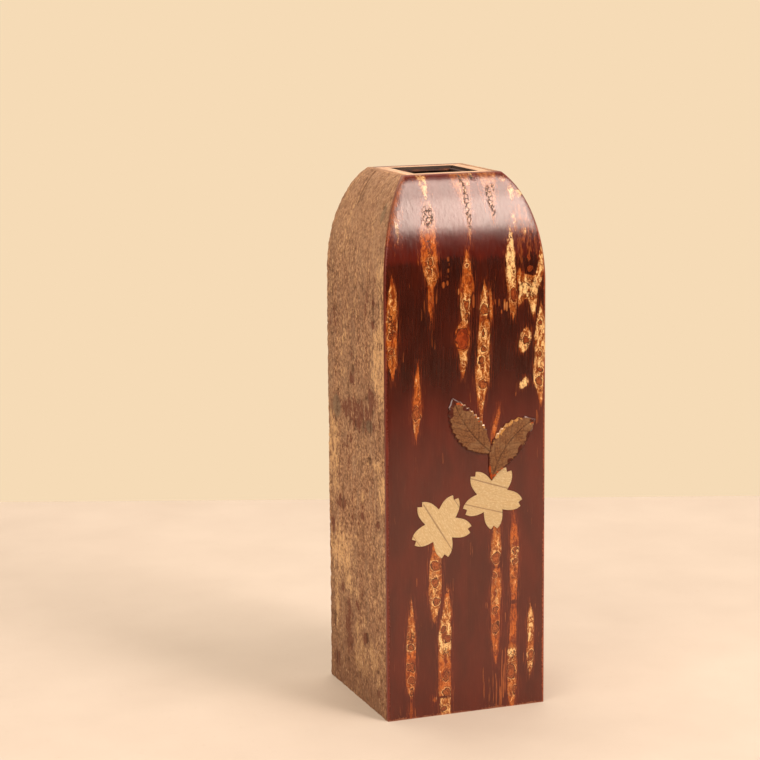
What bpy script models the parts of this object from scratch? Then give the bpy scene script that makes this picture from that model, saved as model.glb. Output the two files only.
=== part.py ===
"""Square flower vase faced with cherry bark, with a lift-out water tube.

Real size in metres, +Z up. The origin is the middle of the underside. The polished front with the
blossoms and leaves faces -Y, and the rough bark side seen beside it faces -X.
"""
import math

import bmesh
import bpy
from mathutils import Vector

# Body, measured over the bark
BODY_WIDTH = 0.080
BODY_HEIGHT = 0.254
RIM_WIDTH = 0.0487
RIM_WALL = 0.0084
SHOULDER_HEIGHT = 0.051
RIM_LEAN = math.radians(48.4)
SHOULDER_FULLNESS = 0.83
SHOULDER_STEPS = 16

# Bark facings, glued over the wooden core
FACING = 0.0018
CORNER_RADIUS = 0.0008
CORNER_STEPS = 3

# Clearances
SEAT_GAP = 0.0003
TUBE_CLEARANCE = 0.0004

# Core
BASE_THICKNESS = 0.012

# Water tube of dark copper
TUBE_WALL = 0.0008
TUBE_FLOOR = 0.0010
TUBE_CORNER = 0.0030
TUBE_DROP = 0.0010
BEAD_DIAMETER = 0.0020
BEND_STEPS = 4
BEAD_SIDES = 10

# Blossoms. Heights of the inlays are measured down from the line where the shoulder starts.
PETALS = 5
BLOSSOM_RADIUS = 0.0156
VALLEY_RADIUS = 0.0082
PETAL_WIDTH = 0.0098
LOBE_SPREAD = 0.0034
NOTCH_DEPTH = 0.0013
PETAL_STEPS = 7
UPPER_BLOSSOM_ACROSS = 0.0132
UPPER_BLOSSOM_DOWN = 0.1000
UPPER_BLOSSOM_TURN = math.radians(-86)
LOWER_BLOSSOM_TURN = math.radians(-82)
BLOSSOM_SPACE = 0.0047
BLOSSOM_LINE = math.radians(204.9)

# Leaves of rough bark, which stand proud of the polished front
LEAF_RISE = 0.0010
LEAF_EDGE_DROP = 0.0005
MIDRIB_DEPTH = 0.0003
MIDRIB_WIDTH = 0.0012
LEAF_TEETH = 9
TOOTH_DEPTH = 0.0008
RIGHT_LEAF_WIDTH = 0.0147
RIGHT_LEAF_BOW = 0.0042
RIGHT_LEAF_TIP_FROM_EDGE = 0.0050
RIGHT_LEAF_TIP_DOWN = 0.0645
LEFT_LEAF_WIDTH = 0.0137
LEFT_LEAF_BOW = 0.0025
LEFT_LEAF_TIP_ACROSS = -0.0075
LEFT_LEAF_TIP_DOWN = 0.0515
LEFT_LEAF_BASE_SHARE = 0.28
LEFT_LEAF_TUCK = 0.0008

# Colour, metallic and roughness of each finish
POLISHED_BARK = ((0.065, 0.010, 0.005), 0.0, 0.25)
ROUGH_BARK = ((0.330, 0.190, 0.095), 0.0, 0.90)
CORE_WOOD = ((0.560, 0.370, 0.230), 0.0, 0.65)
BLOSSOM_WOOD = ((0.740, 0.500, 0.235), 0.0, 0.50)
LEAF_BARK = ((0.200, 0.120, 0.080), 0.0, 0.75)
DARK_COPPER = ((0.030, 0.022, 0.018), 0.9, 0.45)

HALF = BODY_WIDTH / 2
RIM_HALF = RIM_WIDTH / 2
BORE_HALF = RIM_HALF - RIM_WALL
SHOULDER_LINE = BODY_HEIGHT - SHOULDER_HEIGHT
FRONT = -HALF
BARK_BACK = FACING - HALF


def clear_scene():
    for thing in list(bpy.data.objects):
        bpy.data.objects.remove(thing, do_unlink=True)


def finish(name, look):
    """A plain material for one piece."""
    colour, metallic, roughness = look
    material = bpy.data.materials.new(name + "_finish")
    material.use_nodes = True
    shader = material.node_tree.nodes["Principled BSDF"]
    shader.inputs["Base Color"].default_value = (*colour, 1.0)
    shader.inputs["Metallic"].default_value = metallic
    shader.inputs["Roughness"].default_value = roughness
    return material


def add_piece(bm, name, look, holder, smooth=False):
    """Turn a bmesh into a named object with its own finish, carried by the holder."""
    bmesh.ops.recalc_face_normals(bm, faces=bm.faces)
    mesh = bpy.data.meshes.new(name)
    bm.to_mesh(mesh)
    bm.free()
    if smooth:
        mesh.shade_smooth()
        mesh.set_sharp_from_angle(angle=math.radians(30))
    piece = bpy.data.objects.new(name, mesh)
    bpy.context.scene.collection.objects.link(piece)
    piece.data.materials.append(finish(name, look))
    piece.parent = holder
    piece.location = -holder.location
    return piece


def add_holder(name, height):
    """An empty on the vase's axis that carries the pieces which move together."""
    holder = bpy.data.objects.new(name, None)
    holder.location = (0.0, 0.0, height)
    bpy.context.scene.collection.objects.link(holder)
    return holder


def shoulder_point(share):
    """Half width and height on the outside of the shoulder, from its start (0) to the rim (1)."""
    start = Vector((HALF, SHOULDER_LINE))
    rim = Vector((RIM_HALF, BODY_HEIGHT))
    bend = Vector((HALF, BODY_HEIGHT - (HALF - RIM_HALF) / math.tan(RIM_LEAN)))
    weights = ((1 - share) ** 2, 2 * SHOULDER_FULLNESS * share * (1 - share), share ** 2)
    return (start * weights[0] + bend * weights[1] + rim * weights[2]) / sum(weights)


def inset_point(share, inset):
    """The same point set in square to the surface."""
    step = 1e-4
    along = shoulder_point(min(share + step, 1.0)) - shoulder_point(max(share - step, 0.0))
    along.normalize()
    return shoulder_point(share) - Vector((along.y, -along.x)) * inset


def half_width(height, inset=0.0):
    """Half width of the body at a height, on a surface set in from the outside."""
    if height <= SHOULDER_LINE:
        return HALF - inset
    last = inset_point(1.0, inset)
    if height >= last.y:
        return last.x - (height - last.y) * math.tan(RIM_LEAN)
    low, high = 0.0, 1.0
    for _ in range(40):
        middle = (low + high) / 2
        if inset_point(middle, inset).y < height:
            low = middle
        else:
            high = middle
    return inset_point(low, inset).x


def body_levels():
    """Heights of the sections, close together only where the sides curve."""
    curve = [shoulder_point(step / SHOULDER_STEPS).y for step in range(SHOULDER_STEPS)]
    return [0.0, *curve, BODY_HEIGHT]


def loft(name, levels, section, look, holder):
    """A closed solid through level sections that all have as many corners."""
    bm = bmesh.new()
    rings = [[bm.verts.new((x, y, z)) for x, y in section(z)] for z in levels]
    bm.faces.new(rings[0])
    bm.faces.new(rings[-1])
    for lower, upper in zip(rings, rings[1:]):
        for i in range(len(lower)):
            j = (i + 1) % len(lower)
            bm.faces.new((lower[i], lower[j], upper[j], upper[i]))
    return add_piece(bm, name, look, holder, smooth=True)


def quarter_turned(points, turns):
    """Points turned about the vase's axis by quarter turns."""
    for _ in range(turns):
        points = [(-y, x) for x, y in points]
    return points


def board_section(height):
    """Front board: outer face under the bark, inner face on the bore, ends cut to a mitre."""
    mitre = SEAT_GAP / math.sqrt(2)
    outer = half_width(height, FACING + SEAT_GAP)
    return [
        (mitre - outer, -outer),
        (outer - mitre, -outer),
        (BORE_HALF - mitre, -BORE_HALF),
        (mitre - BORE_HALF, -BORE_HALF),
    ]


def bark_end(height, lapped):
    """One end of a facing drawn on the front: it runs to the corner, worn round, or stops short."""
    outer = half_width(height)
    inner = half_width(height, FACING)
    if not lapped:
        end = half_width(height, FACING + SEAT_GAP)
        return [(end, -outer), (end, -inner)]
    points = []
    for step in range(CORNER_STEPS + 1):
        angle = math.radians(90) * step / CORNER_STEPS
        x = outer - CORNER_RADIUS + CORNER_RADIUS * math.sin(angle)
        y = -outer + CORNER_RADIUS - CORNER_RADIUS * math.cos(angle)
        points.append((x, y))
    return [*points, (outer, -inner)]


def bark_section(height, left_lapped, right_lapped):
    """A facing drawn on the front. A lapped end covers the end of the facing round the corner."""
    left_points = [(-x, y) for x, y in reversed(bark_end(height, left_lapped))]
    return [*left_points, *bark_end(height, right_lapped)]


def add_core(holder):
    """Four mitred boards round the bore, and the board that closes it below."""
    for turns, side in enumerate(("front", "right", "back", "left")):
        loft(side + "_board", body_levels(),
             lambda z, n=turns: quarter_turned(board_section(z), n), CORE_WOOD, holder)
    half = BORE_HALF - SEAT_GAP
    square = [(-half, -half), (half, -half), (half, half), (-half, half)]
    loft("base_board", [0.0, BASE_THICKNESS], lambda z: square, CORE_WOOD, holder)


def add_facings(holder):
    """Polished bark on the front, which laps the rough sides, and on the back, which they lap."""
    front = loft("front_bark", body_levels(), lambda z: bark_section(z, True, True), POLISHED_BARK,
                 holder)
    others = (("right", 1, False, True, ROUGH_BARK), ("back", 2, False, False, POLISHED_BARK),
              ("left", 3, True, False, ROUGH_BARK))
    for side, turns, left_lapped, right_lapped, look in others:
        loft(side + "_bark", body_levels(),
             lambda z, n=turns, a=left_lapped, b=right_lapped: quarter_turned(bark_section(z, a, b), n),
             look, holder)
    return front


def bezier(a, b, c, d, share):
    """Point on a cubic curve."""
    rest = 1 - share
    return a * rest ** 3 + b * 3 * rest ** 2 * share + c * 3 * rest * share ** 2 + d * share ** 3


def blossom_outline(centre, turn):
    """Outline in the front's plane: five petals, each with a notch between two lobes."""
    valley_angle = math.pi / PETALS
    half_petal = PETAL_WIDTH / 2
    valley = Vector((math.cos(valley_angle), math.sin(valley_angle))) * VALLEY_RADIUS
    lobe = Vector((math.sqrt(BLOSSOM_RADIUS ** 2 - (LOBE_SPREAD / 2) ** 2), LOBE_SPREAD / 2))
    reach = lobe.x - valley.x
    side_low = Vector((valley.x + reach / 3, half_petal))
    side_high = Vector((lobe.x - reach / 10, half_petal))
    rising = [bezier(valley, side_low, side_high, lobe, step / PETAL_STEPS)
              for step in range(PETAL_STEPS + 1)]
    notch = Vector((lobe.x - NOTCH_DEPTH, 0.0))
    lower_side = [Vector((p.x, -p.y)) for p in rising]
    petal = [*lower_side, notch, *reversed(rising[1:])]
    outline = []
    for number in range(PETALS):
        angle = turn + number * math.tau / PETALS
        across = Vector((math.cos(angle), math.sin(angle)))
        up = Vector((-across.y, across.x))
        outline.extend(centre + across * p.x + up * p.y for p in petal)
    return outline


def leaf_rib(base, tip, bow, share):
    """Point on the bowed midrib and the direction square to it, to its left."""
    chord = tip - base
    left = Vector((-chord.y, chord.x)).normalized()
    point = base + chord * share + left * (4 * bow * share * (1 - share))
    along = chord + left * (4 * bow * (1 - 2 * share))
    return point, Vector((-along.y, along.x)).normalized()


def leaf_stations():
    """Shares of the leaf's length with the tooth rise at each: the base half is smooth-edged."""
    stations = [(0.0, 0.0), (0.04, 0.0), (0.10, 0.0), (0.17, 0.0)]
    first, last = 0.24, 0.92
    pitch = (last - first) / LEAF_TEETH
    for tooth in range(LEAF_TEETH):
        valley = first + tooth * pitch
        stations.append((valley, 0.0))
        stations.append((valley + 0.72 * pitch, 1.0))
    return [*stations, (last, 0.0), (1.0, 0.0)]


def leaf_half_width(width, share, tooth):
    """Half width of the blade, full in the middle and drawn to a point at both ends."""
    blade = math.sin(math.pi * share ** 0.9) ** 0.75 if 0.0 < share < 1.0 else 0.0
    return width / 2 * blade + TOOTH_DEPTH * tooth * min(1.0, 2 * blade)


def leaf_outline(base, tip, bow, width):
    """Toothed outline of a leaf in the front's plane."""
    right_side, left_side = [], []
    for share, tooth in leaf_stations():
        point, left = leaf_rib(base, tip, bow, share)
        reach = leaf_half_width(width, share, tooth)
        right_side.append(point - left * reach)
        left_side.append(point + left * reach)
    return [*right_side, *reversed(left_side[1:-1])]


def grown_outline(outline, margin):
    """The outline moved outwards by a margin, with sharp corners held back."""
    grown = []
    for i, corner in enumerate(outline):
        before = (corner - outline[i - 1]).normalized()
        after = (outline[(i + 1) % len(outline)] - corner).normalized()
        out = Vector((before.y, -before.x)) + Vector((after.y, -after.x))
        out.normalize()
        square = max(out.dot(Vector((before.y, -before.x))), 0.5)
        grown.append(corner + out * (margin / square))
    return grown


def face_prism(outline, back, front):
    """A bmesh prism on an outline in the front's plane, between two depths."""
    bm = bmesh.new()
    face = bm.faces.new([bm.verts.new((p.x, back, p.y)) for p in outline])
    grown = bmesh.ops.extrude_face_region(bm, geom=[face])
    for part in grown["geom"]:
        if isinstance(part, bmesh.types.BMVert):
            part.co.y = front
    return bm


def leaf_blade(base, tip, bow, width):
    """A leaf with a low crown, thinner at its edge, and a groove along the midrib."""
    top = FRONT - LEAF_RISE
    edge = top + LEAF_EDGE_DROP
    bm = bmesh.new()
    rows = []
    for share, tooth in leaf_stations():
        point, left = leaf_rib(base, tip, bow, share)
        reach = leaf_half_width(width, share, tooth)
        groove = min(MIDRIB_WIDTH / 2, reach / 2)
        profile = ((-reach, edge), (-0.6 * reach - 0.4 * groove, top), (-groove, top),
                   (0.0, top + MIDRIB_DEPTH),
                   (groove, top), (0.6 * reach + 0.4 * groove, top), (reach, edge))
        row = []
        for offset, depth in profile:
            place = point + left * offset
            row.append(bm.verts.new((place.x, depth if reach else edge, place.y)))
        rows.append(row)
    for lower, upper in zip(rows, rows[1:]):
        for i in range(len(lower) - 1):
            bm.faces.new((lower[i], lower[i + 1], upper[i + 1], upper[i]))
    bmesh.ops.remove_doubles(bm, verts=bm.verts, dist=1e-6)
    pushed = bmesh.ops.extrude_face_region(bm, geom=bm.faces[:])
    for part in pushed["geom"]:
        if isinstance(part, bmesh.types.BMVert):
            part.co.y = BARK_BACK
    return bm


def add_cutter(name, outline, holder):
    """A hidden prism, larger than its inlay by the seat gap, that cuts right through the bark."""
    reach = FACING + LEAF_RISE
    bm = face_prism(grown_outline(outline, SEAT_GAP), BARK_BACK + reach, FRONT - reach)
    cutter = add_piece(bm, name, CORE_WOOD, holder)
    cutter.hide_render = True
    cutter.display_type = "WIRE"
    return cutter


def cut(piece, cutter):
    boolean = piece.modifiers.new(cutter.name, "BOOLEAN")
    boolean.operation = "DIFFERENCE"
    boolean.solver = "EXACT"
    boolean.object = cutter


def add_inlays(front_bark, holder):
    """Two blossoms flush with the polished front and two leaves standing proud of it."""
    upper = Vector((UPPER_BLOSSOM_ACROSS, SHOULDER_LINE - UPPER_BLOSSOM_DOWN))
    spacing = BLOSSOM_RADIUS + VALLEY_RADIUS + BLOSSOM_SPACE
    lower = upper + Vector((math.cos(BLOSSOM_LINE), math.sin(BLOSSOM_LINE))) * spacing
    upper_outline = blossom_outline(upper, UPPER_BLOSSOM_TURN)
    lower_outline = blossom_outline(lower, LOWER_BLOSSOM_TURN)

    stalk_angle = UPPER_BLOSSOM_TURN + math.pi
    stalk = Vector((math.cos(stalk_angle), math.sin(stalk_angle)))
    right_base = upper + stalk * (VALLEY_RADIUS + SEAT_GAP)
    right_tip = Vector((HALF - RIGHT_LEAF_TIP_FROM_EDGE, SHOULDER_LINE - RIGHT_LEAF_TIP_DOWN))
    right_shape = (right_base, right_tip, RIGHT_LEAF_BOW, RIGHT_LEAF_WIDTH)
    rib, rib_left = leaf_rib(right_base, right_tip, RIGHT_LEAF_BOW, LEFT_LEAF_BASE_SHARE)
    right_edge = leaf_half_width(RIGHT_LEAF_WIDTH, LEFT_LEAF_BASE_SHARE, 0.0)
    left_base = rib + rib_left * (right_edge - LEFT_LEAF_TUCK)
    left_tip = Vector((LEFT_LEAF_TIP_ACROSS, SHOULDER_LINE - LEFT_LEAF_TIP_DOWN))
    left_shape = (left_base, left_tip, LEFT_LEAF_BOW, LEFT_LEAF_WIDTH)

    cutters = {
        "upper_blossom": add_cutter("upper_blossom_pocket", upper_outline, holder),
        "lower_blossom": add_cutter("lower_blossom_pocket", lower_outline, holder),
        "right_leaf": add_cutter("right_leaf_pocket", leaf_outline(*right_shape), holder),
        "left_leaf": add_cutter("left_leaf_pocket", leaf_outline(*left_shape), holder),
    }
    for cutter in cutters.values():
        cut(front_bark, cutter)

    for name, outline in (("upper_blossom", upper_outline), ("lower_blossom", lower_outline)):
        add_piece(face_prism(outline, BARK_BACK, FRONT), name, BLOSSOM_WOOD, holder)
    right_leaf = add_piece(leaf_blade(*right_shape), "right_leaf", LEAF_BARK, holder)
    left_leaf = add_piece(leaf_blade(*left_shape), "left_leaf", LEAF_BARK, holder)
    cut(right_leaf, cutters["upper_blossom"])
    cut(left_leaf, cutters["right_leaf"])


def rounded_square(half, radius):
    """Corners of a square with round bends, each with the direction out of the square."""
    points = []
    for corner in range(4):
        for step in range(BEND_STEPS + 1):
            angle = math.radians(90) * (corner + step / BEND_STEPS)
            out = Vector((math.cos(angle), math.sin(angle)))
            sign_x = 1 if corner in (0, 3) else -1
            sign_y = 1 if corner in (0, 1) else -1
            centre = Vector((sign_x * (half - radius), sign_y * (half - radius)))
            points.append((centre + out * radius, out))
    return points


def add_ring(name, path, profile, holder):
    """A closed ring: a profile of (out, up) points carried round a path."""
    bm = bmesh.new()
    rings = []
    for point, out in path:
        places = [(point.x + out.x * across, point.y + out.y * across, up) for across, up in profile]
        rings.append([bm.verts.new(place) for place in places])
    for i, ring in enumerate(rings):
        following = rings[(i + 1) % len(rings)]
        for j in range(len(profile)):
            k = (j + 1) % len(profile)
            bm.faces.new((ring[j], following[j], following[k], ring[k]))
    return add_piece(bm, name, DARK_COPPER, holder, smooth=True)


def add_water_tube(holder):
    """Folded wall, floor plate and rolled bead of the tube that holds the water."""
    outer = BORE_HALF - TUBE_CLEARANCE
    seat = BASE_THICKNESS + SEAT_GAP
    tube_top = BODY_HEIGHT - TUBE_DROP
    bead_radius = BEAD_DIAMETER / 2
    wall_top = tube_top - BEAD_DIAMETER - SEAT_GAP

    wall_profile = [(-TUBE_WALL, seat), (0.0, seat), (0.0, wall_top), (-TUBE_WALL, wall_top)]
    add_ring("tube_wall", rounded_square(outer, TUBE_CORNER), wall_profile, holder)

    bead_profile = []
    for side in range(BEAD_SIDES):
        angle = math.tau * side / BEAD_SIDES
        bead_profile.append((bead_radius * math.cos(angle) - bead_radius,
                             tube_top - bead_radius + bead_radius * math.sin(angle)))
    add_ring("tube_rim", rounded_square(outer, TUBE_CORNER), bead_profile, holder)

    floor_half = outer - TUBE_WALL - SEAT_GAP
    floor_corner = TUBE_CORNER - TUBE_WALL - SEAT_GAP
    square = [(point.x, point.y) for point, _ in rounded_square(floor_half, floor_corner)]
    loft("tube_floor", [seat, seat + TUBE_FLOOR], lambda z: square, DARK_COPPER, holder)


def main():
    clear_scene()
    body = add_holder("vase_body", 0.0)
    tube = add_holder("water_tube", BASE_THICKNESS + SEAT_GAP)
    add_core(body)
    front_bark = add_facings(body)
    add_inlays(front_bark, body)
    add_water_tube(tube)


main()
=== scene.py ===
"""Looks of the cherry bark vase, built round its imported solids.

Metres, +Z up. The polished front faces -Y, the rough side seen beside it faces -X. Each bark facing is
drawn as if it were the front, across (x) and up (z), and then turned to its own side. Marks and relief
of the bark are given in mm, and so are places in the materials.
"""

import math

import bmesh
import bpy
import numpy as np
from mathutils import Matrix, Vector
from mathutils.kdtree import KDTree


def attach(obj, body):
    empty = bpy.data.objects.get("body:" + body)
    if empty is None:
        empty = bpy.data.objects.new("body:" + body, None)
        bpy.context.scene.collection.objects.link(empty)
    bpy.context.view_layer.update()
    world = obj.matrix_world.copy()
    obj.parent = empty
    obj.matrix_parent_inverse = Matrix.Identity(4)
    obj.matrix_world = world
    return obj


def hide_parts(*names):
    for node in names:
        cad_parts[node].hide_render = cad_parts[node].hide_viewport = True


MM = 0.001

# Body, as in the solids
HALF = 0.040
BODY_HEIGHT = 0.254
RIM_HALF = 0.02435
RIM_WALL = 0.0084
BORE_HALF = RIM_HALF - RIM_WALL
SHOULDER_LINE = 0.203
RIM_LEAN = math.radians(48.4)
SHOULDER_FULLNESS = 0.83
FACING = 0.0018
CORNER_RADIUS = 0.0008
SEAT_GAP = 0.0003
FRONT = -HALF
BARK_BACK = FACING - HALF

# Edges and joints as they are drawn here. The front's arris is sharper than the solid's.
ARRIS_RADIUS = 0.0004
ARRIS_STEPS = 3
EDGE_EASE = 0.00018
EDGE_EASE_WIDTH = 0.0036
EDGE_EASE_CURVE = 1.8
JOINT = 0.00005
CUTTER_REACH = 0.003

# Blossoms, their outlines up to 0.7 mm nearer to the photograph than the solids'. The flank of a petal
# is given as shares of the way from the valley to the lobe and of the half width.
PETALS = 5
BLOSSOM_RADIUS = 0.01543
VALLEY_RADIUS = 0.00804
PETAL_WIDTH = 0.00947
LOBE_SPREAD = 0.00323
NOTCH_DEPTH = 0.00162
FLANK_FROM_VALLEY = 0.38
FLANK_FROM_LOBE = 0.27
FLANK_DRAWN_IN = 0.97
PETAL_STEPS = 12
UPPER_BLOSSOM = Vector((0.01307, 0.10317))
UPPER_BLOSSOM_TURN = math.radians(-86.75)
LOWER_BLOSSOM = Vector((-0.01293, 0.0917))
LOWER_BLOSSOM_TURN = math.radians(-82.8)
BLOSSOM_EASE = 0.00008

# Leaves: rise and teeth as in the solids, the blades up to 1.5 mm nearer to the photograph. A fullness
# over 1 puts the blade's widest place nearer to its tip.
LEAF_RISE = 0.0010
LEAF_TEETH = 9
TOOTH_DEPTH = 0.0008
TOOTH_POINT = 0.72
FIRST_TOOTH = 0.24
LAST_TOOTH = 0.92
BLADE_CURVE = 0.75
RIGHT_LEAF_WIDTH = 0.0140
RIGHT_LEAF_FULLNESS = 1.10
RIGHT_LEAF_BOW = 0.0043
RIGHT_LEAF_BASE = Vector((0.0126, 0.1115))
RIGHT_LEAF_TIP = Vector((0.0349, 0.1393))
LEFT_LEAF_WIDTH = 0.0138
LEFT_LEAF_FULLNESS = 0.90
LEFT_LEAF_BOW = 0.0025
LEFT_LEAF_TIP = Vector((-0.0074, 0.1522))
LEFT_LEAF_BASE_SHARE = 0.31
LEFT_LEAF_TUCK = 0.0008

# Carving of the leaves: heights and widths in mm, the rest as shares
LEAF_CROWN = 0.12
LEAF_BEVEL = 0.34
LEAF_BEVEL_WIDTH = 0.55
LEAF_GRAIN = 1.1
LEAF_GRAIN_HEIGHT = 0.035
LEAF_FOLD_HEIGHT = 0.05
VEIN_DEPTH = 0.30
RIB_WIDTH = 0.42
VEIN_WIDTH = 0.24
VEIN_SLANT = 1.15
VEIN_CLOSENESS = 0.66
VEIN_PITCHES = 8.5
VEIN_STAGGER = 0.18
VEIN_ROWS = 6
VEIN_REACH = 0.86

# Gold and gloss of each leaf's upper side, where the light falls. The gold there is painted light,
# a lit strip along the upper teeth. Columns: the side of the rib that they lie on, 1 to its left or
# -1 to its right and nearer to 0 for a narrower strip, the share of the leaf's length where they start,
# how golden its tip is with that painted light, and how shiny that side is
RIGHT_LEAF_LIT_SIDE = (1, .38, .4, .4)
LEFT_LEAF_LIT_SIDE = (-.88, .22, 0.0, .7)

# Fineness of the pieces made here
POLISHED_PITCH = 0.0005
ROUGH_PITCH = 0.0006
SHOULDER_POINTS = 401
LEAF_ROWS_A_STATION = 7
LEAF_COLUMNS = 44

# A facing laid out on its map for baking, which is 1 by 1. Beside the outer face, a gap in metres away,
# lies its first edge. The other edge, the back and the two ends lie so far from that one on the map.
MAP_TALL = 0.98
MAP_LOW = 0.01
MAP_LEFT = 0.02
MAP_GAP = 0.004
MAP_OTHER_EDGE = 0.012
MAP_BACK = 0.03
MAP_BACK_WIDTH = 0.4
MAP_ENDS = 0.17
MAP_END_WIDTH = 2
MAP_UPPER_END = 0.64

# View, found from the vase's edges, and the room
VIEW_AZIMUTH = math.radians(20.56)
VIEW_ELEVATION = math.radians(10.428)
VIEW_ROLL = math.radians(-0.470)
VIEW_DISTANCE = 1.1106
VIEW_ASIDE = -0.025920
VIEW_HEIGHT = 0.153410
LENS = 109.998
SENSOR_WIDTH = 36.0
NEAREST_SEEN = 0.01
BEHIND = Vector((math.sin(VIEW_AZIMUTH), math.cos(VIEW_AZIMUTH), 0.0))
TO_RIGHT = Vector((math.cos(VIEW_AZIMUTH), -math.sin(VIEW_AZIMUTH), 0.0))
LIGHT_DISTANCE = 1.6
LIGHT_CENTRE = Vector((0.0, 0.0, 0.20))
STRIP_COLOUR = (1.0, .84, .79)
BOX_COLOUR = (1.0, .84, .74)

# Colours that are used more than once, 0 to 255
FOOT_BROWN = (150, 98, 62)

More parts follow.
